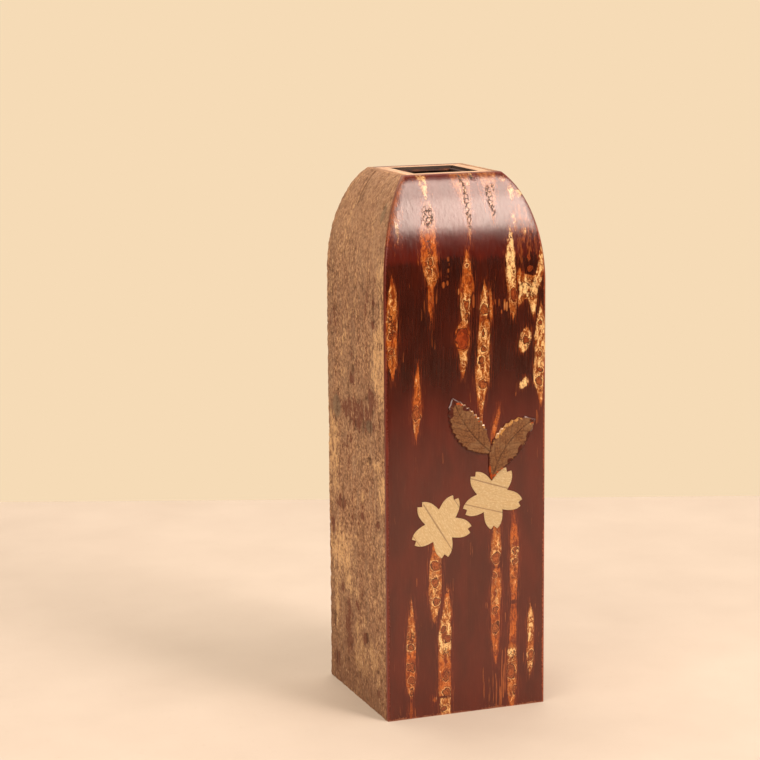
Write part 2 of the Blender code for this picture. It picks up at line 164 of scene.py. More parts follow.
# Lenticels of the front, the pale marks in the bark. Each is a run of stations from its top down:
# height, left edge, right edge, all in mm, and how pale it is there, from 0 orange to 1 cream.
FRONT_LENTICELS = [
    [(258, -19.6, -13.8, .8), (250, -18.4, -14.6, .9), (247, -17.7, -15.3, .9), (243, -16.9, -16.1, .9)],
    [(243, -17.8, -15.6, .5), (239, -19.6, -13.4, .5), (234, -20.4, -13.2, .5), (230, -22.0, -13.4, .45),
     (226, -22.2, -13.9, .3), (222, -21.6, -14.0, .2), (218, -22.4, -13.8, .35), (213, -21.6, -13.8, .4),
     (209, -20.4, -13.5, .5), (206.5, -19.6, -14.4, .5), (203.5, -19.4, -15.9, .35),
     (198, -19.1, -16.0, .3), (194, -18.8, -16.5, .3), (190, -18.0, -17.0, .3), (186, -17.5, -17.3, .3)],
    [(256, -25.0, -22.4, .1), (250, -28.6, -26.0, .15), (244, -32.2, -29.6, .2), (240, -34.4, -31.4, .2),
     (236, -35.6, -32.4, .2), (232, -36.8, -34.4, .1), (228, -37.8, -36.6, .05), (224, -38.4, -37.6, .05)],
    [(239, -34.0, -30.6, .35), (236, -35.0, -30.2, .4), (233.5, -33.8, -31.2, .9),
     (229, -33.5, -31.7, .95), (226, -33.2, -32.0, .9), (223.5, -32.8, -32.5, .8)],
    [(212, -36.8, -36.5, .3), (207, -37.4, -35.6, .4), (204, -38.5, -34.7, .5), (199, -39.1, -34.3, .6),
     (193, -39.5, -34.2, .5), (186, -39.7, -33.9, .45), (180, -39.7, -34.0, .3), (174, -39.5, -34.5, .5),
     (169, -38.8, -34.0, .45), (166, -37.9, -35.2, .35), (161, -36.6, -36.1, .3)],
    [(221.5, .9, 1.2, .4), (217, -.4, 1.8, .45), (214, -1.4, 2.6, .4), (211, -2.0, 2.9, .35),
     (207, -2.5, 3.5, .35), (203, -2.9, 3.9, .35), (201, -3.4, 3.4, .4), (199, -3.3, 2.3, .6),
     (195, -3.5, 1.9, .85), (191, -2.9, 1.9, .75), (188, -2.7, .6, .6), (185.5, -4.2, 1.1, .45),
     (182.5, -5.8, 1.9, .3), (178, -6.0, 1.9, .25), (175, -4.6, 1.3, .3), (173, -4.2, .5, .6),
     (169, -3.4, .4, .7), (165, -3.1, -.3, .6), (160.5, -2.1, -1.7, .5)],
    [(258, -2.6, 7.2, .45), (250, -2.2, 6.6, .5), (244, -.2, 6.0, .45), (240, 1.0, 5.4, .5),
     (234, 1.5, 4.5, .6), (229, 1.8, 4.0, .6), (224.5, 2.3, 3.3, .5), (221.5, 2.7, 2.9, .4)],
    [(254, 7.2, 9.0, .9), (252.5, 6.9, 9.2, .9), (251.3, 7.6, 8.4, .9)],
    [(258, 11.0, 21.5, .4), (251, 11.7, 20.4, .45), (247, 12.8, 18.7, .5), (243, 13.5, 18.4, .5),
     (239, 13.7, 17.2, .5), (236, 14.0, 16.6, .4), (231, 15.2, 15.8, .35)],
    [(206, 8.7, 9.0, .5), (202.5, 7.9, 10.1, .6), (199.5, 7.2, 11.0, .7), (196, 6.9, 11.0, .8),
     (192, 6.7, 10.9, .8), (188.5, 6.5, 10.3, .35), (185.5, 6.1, 12.1, .5), (181, 5.8, 12.3, .7),
     (175, 5.4, 11.9, .65), (170, 5.3, 11.6, .6), (165, 4.8, 11.6, .7), (160, 4.2, 11.5, .5),
     (157, 4.4, 10.9, .5), (154, 5.0, 10.0, .6), (151, 5.4, 9.0, .5), (147, 5.8, 8.6, .5),
     (141, 6.5, 8.4, .45), (137.5, 7.0, 8.0, .35)],
    [(203.5, 11.7, 12.1, .4), (200, 11.2, 12.6, .45), (195, 11.5, 13.5, .4), (190, 11.4, 13.2, .4),
     (186.5, 12.0, 12.6, .35)],
    [(231, 22.6, 23.1, .7), (227, 22.1, 24.1, .9), (223, 20.9, 24.5, .95), (219, 20.2, 24.8, 1.0),
     (214, 20.0, 24.9, 1.0), (209, 19.8, 24.9, .95), (205, 19.8, 24.8, .9), (202, 20.1, 25.1, .55),
     (197, 20.8, 25.9, .55), (193, 21.3, 25.2, .6), (189.5, 21.9, 24.7, .6), (186.5, 23.3, 23.8, .4)],
    [(237.5, 24.9, 25.5, .8), (234, 24.3, 26.4, .9), (230, 24.8, 26.6, .8), (227.5, 25.4, 26.0, .6)],
    [(249, 25.6, 26.8, .7), (246.5, 24.3, 28.0, .9), (243, 24.4, 27.5, .9), (241, 25.6, 26.1, .7)],
    [(246, 28.4, 30.8, .8), (244.4, 27.6, 32.2, .85), (242.6, 28.8, 30.4, .7)],
    [(252, 21.5, 24.8, .6), (250.5, 21.0, 25.2, .7), (249.4, 22.6, 24.0, .5)],
    [(230, 30.0, 30.6, .6), (227.5, 29.2, 31.6, .8), (225.5, 30.0, 31.0, .7)],
    [(222.5, 37.6, 38.2, .7), (218, 36.7, 38.7, .85), (213, 36.2, 38.9, .85), (209, 35.4, 38.8, .8),
     (205, 33.0, 38.0, .8), (202, 31.0, 37.4, .9)],
    [(210.5, 26.2, 27.0, .35), (208, 25.0, 29.0, .35), (206, 25.2, 36.0, .6), (203.5, 25.8, 36.8, .85),
     (200, 26.4, 36.4, .95), (197.5, 26.2, 36.1, .9), (196, 26.0, 29.6, .6), (194.5, 26.0, 28.0, .5),
     (192.8, 26.2, 26.9, .4)],
    [(199, 29.5, 36.2, .9), (196.5, 30.8, 36.0, .8), (194, 31.7, 35.7, .75), (190.5, 32.6, 35.1, .75),
     (186.8, 33.4, 33.9, .6)],
    [(194.5, 37.8, 38.2, .6), (190, 36.6, 39.0, .8), (185, 35.3, 39.7, .85), (180, 34.4, 39.8, .85),
     (175, 34.0, 39.8, .8), (170, 34.7, 39.8, .8), (165, 33.9, 39.7, .85), (160, 33.6, 39.6, .8),
     (156.5, 33.6, 39.5, .7), (154, 34.8, 39.4, .75), (151.5, 35.8, 39.0, .6), (148, 36.8, 38.9, .45),
     (144.5, 37.7, 38.4, .35)],
    [(183, 29.6, 30.8, .7), (180, 27.0, 32.6, .85), (177, 26.4, 32.8, .8), (174, 26.1, 31.8, .85),
     (171, 27.2, 29.6, .7)],
    [(169.5, -24.2, -23.8, .3), (164, -25.3, -23.0, .35), (159, -26.3, -22.8, .4),
     (154, -26.7, -22.6, .35), (149, -27.3, -22.4, .25), (144, -27.3, -22.5, .2),
     (140, -26.6, -23.4, .45), (136, -25.9, -24.3, .4), (133, -25.2, -24.9, .3)],
    [(159.0, 29.4, 30.8, 1), (157, 27.0, 31.4, 1), (155.3, 26.4, 30.6, 1), (153.8, 27.0, 28.6, 1)],
    [(147, 16.2, 16.7, .2), (143.4, 14.9, 17.2, .3), (141.4, 14.3, 16.7, .35), (138.5, 13.1, 16.1, .35),
     (135.6, 12.6, 15.4, .35), (132.6, 12.3, 14.5, .3), (129, 11.8, 13.2, .2)],
    [(84, -17.0, -14.2, .4), (79, -17.8, -12.9, .4), (75, -18.4, -12.6, .45), (71, -18.8, -12.4, .5),
     (66, -19.1, -12.6, .5), (61, -19.4, -12.8, .6), (56, -19.0, -13.1, .55), (52, -18.5, -14.1, .6),
     (47.5, -17.8, -15.6, .6), (44.5, -16.7, -16.3, .5)],
    [(62, -9.8, -9.3, .5), (60.6, -10.4, -8.6, .5), (59.6, -9.8, -9.0, .4)],
    [(59.3, -10.6, -8.8, .3), (57, -11.7, -8.5, .4), (52, -12.1, -8.0, .6), (46, -13.5, -8.0, .7),
     (40, -14.4, -8.0, .7), (34.5, -14.5, -8.1, .9), (30, -14.4, -8.2, .6), (25, -14.5, -8.0, .35),
     (19, -14.5, -8.0, .3), (14, -14.6, -8.1, .3), (9.4, -14.4, -8.2, .4)],
    [(8.2, -13.9, -8.0, .7), (4, -14.2, -8.0, .65), (-3, -13.6, -8.0, .6)],
    [(9, -17.2, -15.8, .4), (7.6, -17.6, -15.2, .4), (6.6, -16.8, -15.8, .3)],
    [(59, -28.1, -27.8, .4), (54, -28.8, -27.3, .5), (49, -29.6, -26.4, .45), (43, -30.3, -25.6, .5),
     (37.5, -30.6, -25.6, .45), (32, -30.9, -25.8, .3), (25, -31.1, -25.9, .25), (18, -31.1, -26.0, .3),
     (13, -30.2, -26.7, .25), (9.4, -28.5, -28.0, .3)],
    [(8, -29.0, -27.8, .2), (3, -29.2, -27.6, .25), (-3, -28.9, -27.9, .2)],
    [(93, 13.6, 16.4, .4), (86, 12.9, 17.1, .5), (81, 12.2, 17.5, .5), (76, 12.0, 17.6, .45),
     (72, 12.7, 17.2, .35), (69, 14.6, 15.8, .2)],
    [(68.6, 14.0, 17.2, .3), (66, 13.2, 17.4, .4), (63, 12.7, 17.8, .4), (57, 12.2, 17.8, .45),
     (51.4, 12.2, 17.3, .5), (50.4, 12.2, 17.4, .25), (46, 12.2, 17.2, .2), (40, 12.2, 17.0, .2),
     (36, 12.4, 17.1, .25), (31.5, 12.9, 16.6, .35), (26.5, 13.7, 15.8, .3), (21, 14.8, 15.1, .25)],
    [(97, 23.5, 23.8, .1), (91, 22.8, 25.0, .15), (86, 22.2, 26.1, .2), (81.5, 21.8, 26.5, .35),
     (75, 22.2, 26.5, .4), (69, 22.2, 26.3, .35), (64, 22.0, 26.2, .4), (57, 22.2, 26.1, .35),
     (52.2, 22.5, 25.8, .25)],
    [(50.4, 22.2, 25.6, .15), (44, 22.2, 25.8, .25), (36, 21.8, 25.6, .3), (31, 21.5, 25.5, .3),
     (28.5, 21.0, 25.6, .8), (25, 20.6, 25.8, .85), (22, 20.6, 25.8, .5), (17, 20.6, 25.8, .4),
     (12, 20.8, 25.8, .4), (8, 20.7, 25.2, .4), (4, 21.2, 25.0, .35), (-3, 22.6, 24.0, .3)],
    [(51, 32.6, 32.9, .4), (46, 31.7, 33.9, .65), (41.5, 31.1, 34.6, .75), (37, 31.0, 34.7, .8),
     (33.5, 31.4, 34.2, .9), (30, 31.1, 34.4, .45), (25, 30.6, 34.8, .35), (21.5, 30.9, 34.5, .5),
     (18.5, 31.5, 34.0, .85), (13, 32.4, 32.8, .6)],
]

# Eyes in the lenticels: across, height, half width, half height, and 0 brown or 1 orange inside
FRONT_EYES = [
    (-17.8, 215.6, 1.2, 1.5, 0), (-17.8, 211.2, 1.6, 1.6, 0), (.4, 213.2, 1.0, 1.0, 0),
    (-.1, 195.0, 1.8, 2.2, .2), (.0, 189.6, .8, 1.6, 0), (-2.1, 179.4, 3.0, 4.8, 1),
    (9.0, 192.8, 1.6, 2.2, 0), (8.4, 174.2, 1.2, 1.4, 0), (7.6, 169.1, 1.8, 1.6, 0),
    (8.1, 157.6, 2.0, 2.3, 0), (8.5, 181.4, .9, 1.4, .3), (-37.4, 183.0, 1.2, 1.6, .4),
    (-37.2, 175.0, 1.4, 1.2, .2), (31.5, 215.1, .9, 1.4, 1), (32.4, 210.0, 1.7, 1.5, .7),
    (37.6, 184.4, 1.0, 1.4, .2), (37.4, 169.6, 1.2, 1.6, .2), (37.2, 162.2, 1.7, 1.5, .4),
    (36.9, 156.3, 1.7, 2.0, 0), (29.6, 176.4, 1.4, 1.9, .5), (-25.0, 145.8, 1.8, 3.4, .1),
    (-15.3, 73.0, 2.3, 2.4, .1), (-15.8, 64.9, 1.3, 2.4, .1), (-15.4, 55.6, 1.7, 1.6, .1),
    (-12.1, 41.9, 1.2, 1.5, .3), (-10.2, 37.2, 1.7, 2.2, .4), (-10.4, 19.2, 1.5, 2.6, .2),
    (-10.7, 10.9, 1.8, 1.9, 0), (-11.6, 3.0, 1.8, 1.5, .3), (-28.2, 34.8, 1.8, 1.6, 0),
    (-28.4, 25.2, 1.9, 2.3, .1), (-28.4, 12.8, 1.1, 2.0, 0), (-28.4, 18.6, 1.4, 1.8, .3),
    (15.2, 73.9, 1.9, 3.2, .1), (14.6, 65.8, 1.0, 1.1, .3), (15.1, 39.6, 1.7, 3.0, 0),
    (14.8, 47.6, 1.2, 2.0, .1), (24.4, 76.4, 1.3, 1.5, 0), (24.4, 71.4, 1.4, 1.3, 0),
    (22.9, 17.4, 2.0, 3.2, .3), (24.6, 8.0, 1.0, 2.2, .2), (32.8, 23.9, 1.6, 3.0, 0),
    (23.2, 198.6, 1.5, 3.0, .6), (23.3, 209.6, .5, .7, 0),
]

# Where the lenticels are cracked: across, height, half width, half height
FRONT_CRACKS = [
    (-17.0, 235.8, 2.6, 5.0), (-17.8, 222.5, 1.0, 4.0), (3.2, 239.5, 1.2, 11.0), (2.6, 252.0, 1.0, 2.5),
    (14.8, 243.5, 1.5, 5.0), (15.8, 237.0, 1.0, 3.0), (17.6, 247.5, .8, 1.6), (9.2, 252.2, 2.6, 1.4),
    (31.0, 203.5, 4.0, 3.0), (31.0, 198.0, 3.0, 1.6), (-36.8, 188.0, 2.0, 6.0), (-32.4, 229.0, .8, 3.0),
    (28.0, 178.0, 1.6, 2.0), (31.4, 175.0, 1.2, 2.6), (-28.2, 39.5, 2.0, 2.6), (22.6, 225.5, 1.2, 2.4),
    (33.0, 244.0, 2.0, 3.0), (-10.6, 30.8, 1.6, 2.4), (23.6, 25.6, 1.8, 2.2),
]

# Faint fibres beside the lenticels, in mm: across, upper height, lower height, width, strength
FRONT_FIBRES = [
    (14.4, 197.0, 194.5, .5, .8), (18.9, 197.0, 191.0, .8, 1.0), (20.0, 195.5, 190.5, .7, 1.0),
    (16.5, 197.0, 193.0, .5, .8), (17.4, 192.0, 189.6, .5, .7), (-8.6, 218.0, 215.2, 1.5, .5),
    (-8.4, 214.8, 213.4, .9, .45), (-8.8, 212.6, 210.0, 1.4, .6), (-9.2, 209.4, 208.0, .9, .5),
    (-9.6, 207.0, 204.4, 1.6, .6), (-11.4, 206.6, 203.4, 1.8, .65),
    (3.6, 200.0, 193.0, 1.6, .7), (-4.0, 203.0, 199.8, .9, .9),
    (8.7, 22.0, 2.0, .6, .6), (11.6, 17.0, .0, .8, .45), (13.6, 20.0, 1.0, .5, .6),
    (15.1, 18.0, -2.0, .7, .65), (16.7, 16.0, -2.0, .6, .6), (18.0, 30.0, .0, .7, .75),
    (19.6, 30.5, 3.0, .6, .7), (17.2, 11.0, -2.0, .5, .6), (18.8, 22.0, 4.0, .5, .6),
    (9.7, 53.0, 48.6, .5, .55), (10.5, 53.0, 49.0, .5, .55), (19.8, 46.8, 41.6, .7, .6),
    (-23.3, 52.0, 44.0, .7, .35), (-25.0, 68.5, 63.5, .7, .5), (35.6, 143.6, 136.2, 1.6, .5),
    (36.6, 141.0, 137.0, .8, .4), (1.8, 83.0, 76.0, 1.2, .4), (2.9, 81.0, 75.0, 1.0, .35),
    (-12.0, 127.0, 121.0, 1.0, .35), (-25.2, 133.0, 118.0, .7, .3), (-22.0, 197.0, 188.5, .7, .45),
    (-20.6, 199.0, 190.0, .7, .5), (-14.6, 204.0, 196.0, .8, .55), (-17.0, 185.0, 176.0, .9, .45),
    (-15.8, 180.0, 175.0, .6, .5), (-28.0, 207.0, 204.0, .5, .5), (-23.2, 222.0, 214.0, .8, .5),
    (5.6, 195.0, 188.0, .8, .4), (26.9, 171.0, 164.0, .9, .3), (13.4, 152.0, 147.0, .8, .3),
    (26.6, 225.0, 214.0, 1.0, .5), (27.6, 221.0, 211.0, .8, .45), (34.6, 222.0, 214.0, 1.2, .35),
    (28.6, 240.0, 232.0, 2.2, .6), (31.6, 239.0, 231.0, 2.4, .5), (34.2, 233.0, 226.0, 1.4, .45),
    (-28.8, 244.0, 236.0, 2.4, .35), (36.0, 128.0, 120.0, .7, .3), (2.0, 155.0, 149.0, .7, .4),
    (29.6, 236.0, 221.0, 3.0, .4), (32.6, 234.0, 217.0, 3.0, .42), (27.8, 229.0, 212.0, 2.0, .45),
    (35.4, 231.0, 216.0, 2.4, .38), (31.4, 225.0, 213.0, 2.6, .4), (31.2, 99.0, 94.0, .7, .35),
    (33.0, 92.0, 88.0, .7, .35), (-36.0, 100.0, 88.0, .8, .25),
    (-13.2, 141.0, 131.0, .6, .2), (16.4, 58.0, 46.0, .6, .4), (-8.0, 86.0, 79.0, .7, .25),
]

# Brown heart lines in each blossom, in mm: from across and height, to across and height, and the width
UPPER_LINES = [((1.6, 113.2), (21.4, 106.6), .30), ((-1.4, 101.2), (19.4, 95.0), .30)]
LOWER_LINES = [((-22.0, 103.2), (-6.6, 78.6), .34), ((-7.2, 105.4), (-3.4, 99.4), .24),
               ((-27.2, 88.6), (-20.8, 79.4), .24)]

# Where the leaves glow rusty: across, height, half width, half height
LEFT_EMBERS = [(-4.6, 149.3, 1.4, .6), (-3.0, 148.6, .9, .5), (4.2, 142.3, .6, .5), (5.9, 140.2, .6, .5)]
RIGHT_EMBERS = [(11.5, 116.8, .6, 2.4), (12.2, 113.4, .8, 2.0), (13.8, 113.8, 1.3, .8),
                (15.8, 115.2, 1.5, .7), (18.0, 116.6, 1.4, .6), (32.9, 137.4, 1.1, .4)]

# Where they are dark red, in the same way: burnt patches, and at 17.7 across a painted shade under a curled
# tooth of the right leaf
LEAF_BURNS_AND_SHADE = [(-6.7, 149.8, 1.4, 2.6), (-8.1, 145.2, 1.6, 2.0), (-.7, 146.5, 2.0, 1.1),
              (33.2, 138.4, 1.8, .7), (17.7, 136.3, .8, .5), (-9.4, 139.4, .8, 2.4), (-7.6, 133.2, 1.0, 1.8),
              (-2.6, 127.6, 1.8, .8), (31, 130.8, 1.0, 2.4), (27.0, 125.2, 1.2, 2.0), (21.6, 120.2, 1.2, 1.2)]

# Patches of the rough side: across, height, half width, half height, and the tint
GOLDEN, RED_BROWN = 1.0, -1.0
LEFT_PATCHES = [
    (30, 165, 9, 16, GOLDEN), (34, 209, 5, 9, GOLDEN), (34, 109, 5, 12, GOLDEN),
    (-33, 116, 8, 18, GOLDEN), (-25, 67, 16, 12, GOLDEN), (12, 24, 16, 10, GOLDEN),
    (-22, 92, 5, 3, RED_BROWN), (-34, 79, 2.5, 4, RED_BROWN), (-21, 50, 2.5, 2.5, RED_BROWN),
    (10, 32, 4, 3, RED_BROWN), (0, 46, 2.5, 2.5, RED_BROWN), (8, 92, 2, 2, RED_BROWN),
    (28, 92, 2, 2.4, RED_BROWN), (28, 10, 2.4, 2, RED_BROWN), (25, 196, 2.2, 2, RED_BROWN),
    (24, 186, 2.4, 2, RED_BROWN), (36, 196, 2.4, 4, RED_BROWN), (-6, 156, 2.4, 2.4, RED_BROWN),
    (-12, 32, 6, 14, RED_BROWN), (-30, 12, 4, 5, RED_BROWN), (22, 150, 6, 5, RED_BROWN),
    (0, 140, 26, 6, RED_BROWN), (-12, 54, 4, 5, GOLDEN), (-20, 66, 5, 5, GOLDEN), (37, 190, 3, 30, GOLDEN),
    (-1, 52, 2.4, 3, GOLDEN), (10.7, 40, 2, 2.5, GOLDEN), (-1, 34, 2, 2.5, GOLDEN),
    (26.8, 15, 2.4, 2.4, GOLDEN), (-16, 232, 2.2, 2.5, GOLDEN), (8, 101, 2, 2.5, GOLDEN),
    (27, 121, 4, 3, GOLDEN), (-30, 40, 3, 14, GOLDEN),
]

# Dull grey-brown lichen on the rough sides: across, height, half width, half height
LEFT_LICHENS = [(-27, 139, 6, 6), (18, 137, 5, 3), (24.5, 237, 2.4, 5)]
RIGHT_LICHENS = [(20, 88, 5, 6), (-15, 190, 6, 4)]

# Fissures of the rough sides: across, upper height, lower height, width, depth
LEFT_FISSURES = [
    (-11.0, 254, 237, 2.0, 1), (-14.5, 251, 241, 1.7, .9), (-8.0, 249, 239, 1.5, .8), (18, 122.5, 119, 6, .8),
    (24.0, 203, 185, 1.6, .9), (36, 202, 191, 2.4, .9), (31, 200, 194, 1.8, .7), (-29, 134, 128, 2.0, .7),
    (-4, 163, 159, 3.0, .9), (10, 140, 132, 2.4, .7), (20, 141, 133, 2.2, .8), (-2, 137, 131, 2.2, .7),
    (-33, 38, 26, 2.2, .8), (-31, 16, 8, 2.6, .9), (-20, 100, 88, 1.8, .6), (12, 36, 30, 3.0, .7),
]
RIGHT_FISSURES = [
    (8, 250, 232, 1.0, .9), (-22, 214, 196, .9, .8), (27, 168, 158, 1.4, .7), (-9, 121, 114, 2.4, .7),
    (-30, 92, 80, 1.1, .8), (18, 60, 44, 1.2, .8), (-4, 28, 18, 1.5, .7), (33, 112, 101, 1.0, .7),
]


# Shading

def paint(red, green, blue):
    """A colour given as it looks on a screen, 0 to 255, as the linear colour a shader takes."""
    linear = []
    for part in (red, green, blue):
        share = part / 255
        linear.append(share / 12.92 if share <= 0.04045 else ((share + 0.055) / 1.055) ** 2.4)
    return (*linear, 1.0)


class Amount:
    """What varies over a surface. Arithmetic on a number that varies adds the Math nodes."""

    def __init__(self, nodes, socket):
        self.nodes = nodes
        self.socket = socket

    def worked(self, operation, *values):
        """One Math node on these values."""
        inputs = dict(enumerate(values))
        return self.nodes.add("ShaderNodeMath", {"operation": operation}, inputs)

    def __add__(self, other):
        return self.worked("ADD", self, other)

    def __radd__(self, other):
        return self.worked("ADD", other, self)

    def __sub__(self, other):
        return self.worked("SUBTRACT", self, other)

    def __rsub__(self, other):
        return self.worked("SUBTRACT", other, self)

    def __mul__(self, other):
        return self.worked("MULTIPLY", self, other)

    def __rmul__(self, other):
        return self.worked("MULTIPLY", other, self)

    def __abs__(self):
        return self.worked("ABSOLUTE", self)

    def at_least(self, other):
        """The larger of the two."""
        return self.worked("MAXIMUM", self, other)


class Nodes:
    """The node tree of one material or of the world."""

    def __init__(self, tree):
        self.tree = tree

    def feed(self, socket, value):
        """Link a socket to what varies, or set it to what is the same all over."""
        if isinstance(value, Amount):
            self.tree.links.new(value.socket, socket)
        else:
            socket.default_value = value

    def add(self, kind, settings=None, inputs=None, output=0):
        """One node: its settings first, then its inputs, by name or number, as values or links."""
        node = self.tree.nodes.new(kind)
        for name, value in (settings or {}).items():
            setattr(node, name, value)
        for name, value in (inputs or {}).items():
            self.feed(node.inputs[name], value)
        return Amount(self, node.outputs[output])

    def vectors(self, operation, place, other):
        """Vector Math on a place."""
        return self.add("ShaderNodeVectorMath", {"operation": operation}, {0: place, 1: other})

    def place(self):
        """Position on the piece in mm, which moves with the piece."""
        metres = self.add("ShaderNodeTexCoord", output="Object")
        return self.vectors("MULTIPLY", metres, (1 / MM, 1 / MM, 1 / MM))

    def wobbled(self, place, scale, amount):
        """Positions pushed about by a soft noise, by as many mm as amount says."""
        inputs = {"Vector": place, "Scale": scale, "Detail": 2.0}
        push = self.add("ShaderNodeTexNoise", {}, inputs, output="Color")
        centred = self.vectors("SUBTRACT", push, (.5, .5, .5))
        sized = self.vectors("MULTIPLY", centred, (2 * amount, 2 * amount, 2 * amount))
        return self.vectors("ADD", place, sized)

    def axis(self, place, letter):
        """One coordinate of a place."""
        return self.add("ShaderNodeSeparateXYZ", {}, {0: place}, output=letter)

    def noise(self, place, scale=1.0, detail=2.0, roughness=0.5, distortion=0.0):
        """Soft noise from 0 to 1. Its scale is one number, or one for each axis."""
        if isinstance(scale, tuple):
            place = self.vectors("MULTIPLY", place, scale)
            scale = 1.0
        inputs = {"Vector": place, "Scale": scale, "Detail": detail, "Roughness": roughness,
                  "Distortion": distortion}
        return self.add("ShaderNodeTexNoise", {}, inputs)

    def cell_edges(self, place, scale):
        """How far a place lies from the edges of a net of cells, as crazing leaves them."""
        inputs = {"Vector": self.vectors("MULTIPLY", place, scale), "Scale": 1.0}
        return self.add("ShaderNodeTexVoronoi", {"feature": "DISTANCE_TO_EDGE"}, inputs, output="Distance")

    def field(self, name):
        """A number kept on the piece's points."""
        return self.add("ShaderNodeAttribute", {"attribute_name": name}, output="Fac")

    def step(self, value, low, high):
        """0 below low, 1 above high and a soft rise between; a fall where low is above high."""
        if low > high:
            return 1 - self.step(value, high, low)
        inputs = {"Value": value, "From Min": low, "From Max": high}
        return self.add("ShaderNodeMapRange", {"interpolation_type": "SMOOTHSTEP"}, inputs)

    def mix(self, share, colour, other):
        """One colour that gives way to another as the share goes from 0 to 1."""
        return self.add("ShaderNodeMix", {"data_type": "RGBA"}, {0: share, 6: colour, 7: other}, output=2)

    def layered(self, colour, *layers):
        """A colour with others laid over it in turn, each as its share, red, green and blue."""
        for share, red, green, blue in layers:
            colour = self.mix(share, colour, paint(red, green, blue))
        return colour

    def shaded(self, colour, by):
        """A colour made darker or lighter all over by an amount."""
        if not isinstance(colour, Amount):
            colour = colour[:3]
        return self.add("ShaderNodeVectorMath", {"operation": "SCALE"}, {0: colour, "Scale": by})


class Finish(Nodes):
    """A material whose nodes end in one Principled shader."""

    def __init__(self, name):
        self.material = bpy.data.materials.new(name)
        self.material.use_nodes = True
        super().__init__(self.material.node_tree)
        self.shader = self.tree.nodes["Principled BSDF"]

    def set(self, **looks):
        """Feed the shader's sockets, named with _ for each space."""
        for name, value in looks.items():
            self.feed(self.shader.inputs[name.replace("_", " ")], value)

    def bump(self, height):
        """Fine relief from a height in mm."""
        inputs = {"Height": height, "Strength": 1.0, "Distance": MM}
        return self.add("ShaderNodeBump", {}, inputs, output="Normal")


def polished_ground(bark, height, ragged, fibres, hairs, clouds):
    """Dark red ground of the polished bark, darkest in a band and lighter beside the lenticels."""
    cloudy = bark.step(clouds, .3, .7)
    level = height + (clouds - .5) * 6 + (fibres - .5) * 4
    band = bark.step(level, 218.0, 214.5) * bark.step(level, 140.0, 168.0)
    red = bark.mix(cloudy, paint(70, 15, 5), paint(85, 21, 8))
    dark = bark.mix(cloudy, paint(47, 13, 5), paint(62, 18, 7))
    halo = bark.step(ragged, -2.4, .3) * bark.step(fibres, .40, .75)
    return bark.layered(bark.mix(band, red, dark),
                        (bark.step(fibres, .50, .85) * .45, 104, 42, 20),
                        (bark.step(hairs, .35, .1) * .4, 34, 8, 4),
                        (halo * .55, 146, 62, 22))


def worn_ground(bark, ground, place, height, worn, border, speck, clouds):
    """The ground with its wear: orange along the edges, dusty near the foot, and a thin paler band along the
    foot.
    """
    orange_side = bark.step(bark.axis(place, "X"), 34.0, 38.0) * bark.step(border, .02, .20)
    wear = bark.mix(orange_side, paint(118, 30, 10), paint(166, 78, 36))
    ground = bark.mix(worn * (orange_side * .3 + .6), ground, wear)
    # A thin band along the foot is made paler.
    pale_foot = bark.step(height + (speck - .5) * 4.0 + (clouds - .5) * 4.0, .9, .1)
    dusty = bark.step(speck, .60, .72) * bark.step(height + (clouds - .5) * 6.0, 5.0, .5)
    return bark.layered(ground, (pale_foot * .5, *FOOT_BROWN), (dusty * .5, *FOOT_BROWN))


def lenticel_flesh(bark, pale, ragged, hairs, speck, mottle, marbling):
    """Marbled orange and cream inside the lenticels, with brown folds, specks and rim."""
    swirled = bark.step(mottle, .32, .66)
    orange = bark.mix(swirled, paint(118, 48, 13), paint(190, 114, 48))
    rusty = bark.mix(swirled, paint(112, 36, 7), paint(186, 92, 26))
    warm = bark.mix(bark.step(pale, .60, .25), orange, rusty)
    creamy = bark.step(pale + (mottle - .5) * (2.7 - pale * 1.2) + (speck - .5) * .7, .70, 1.05)
    cream = bark.mix(hairs, paint(226, 172, 102), paint(252, 224, 158))
    contour = bark.step(abs(marbling - .52), .030, .008) * bark.step(pale, .2, .7)
    fold = bark.step(abs(marbling - .43), .030, .006)
    return bark.layered(bark.mix(creamy, warm, cream),
                        (contour * .6, 226, 182, 116),
                        (fold * .7, 92, 40, 16),
                        (bark.step(speck, .36, .24) * (.8 - pale * .35), 98, 46, 20),
                        (bark.step(ragged, .9, .1) * .65, 134, 58, 20))


def ringed_flesh(bark, flesh, pale, drawn, eye_heat, mottle, marbling):
    """The flesh with what runs round its eyes: a cream crest, a brown trough and a cream ring."""
    flow = drawn + (marbling - .5) * 1.8
    crest = bark.step(abs(flow + 1.35), .22, .04) * bark.step(mottle, .35, .55)
    trough = bark.step(abs(flow + .85), .22, .05)
    ring = bark.step(drawn, -.70, -.40) * bark.step(drawn, -.05, -.20) * bark.step(mottle, .36, .56)
    return bark.layered(flesh,
                        (crest * bark.step(pale, .1, .8) * .6, 234, 186, 118),
                        (trough * .6, 118, 52, 18),
                        (ring * bark.step(pale, .0, .7) * (1 - eye_heat), 234, 190, 122))


def eye_core(bark, drawn, eye_heat, speck, mottle):
    """Inside an eye: brown, or orange where it is hot, and darkest just inside its edge."""
    brown = bark.mix(bark.step(speck, .35, .65), paint(122, 51, 19), paint(170, 94, 42))
    glowing = bark.mix(bark.step(mottle, .35, .65), paint(112, 40, 13), paint(156, 64, 22))
    return bark.layered(bark.mix(eye_heat, brown, glowing),
                        (bark.step(drawn, .50, .15) * .9, 66, 26, 12),
                        (bark.step(abs(drawn - .9), .30, .08) * .6, 76, 28, 12))


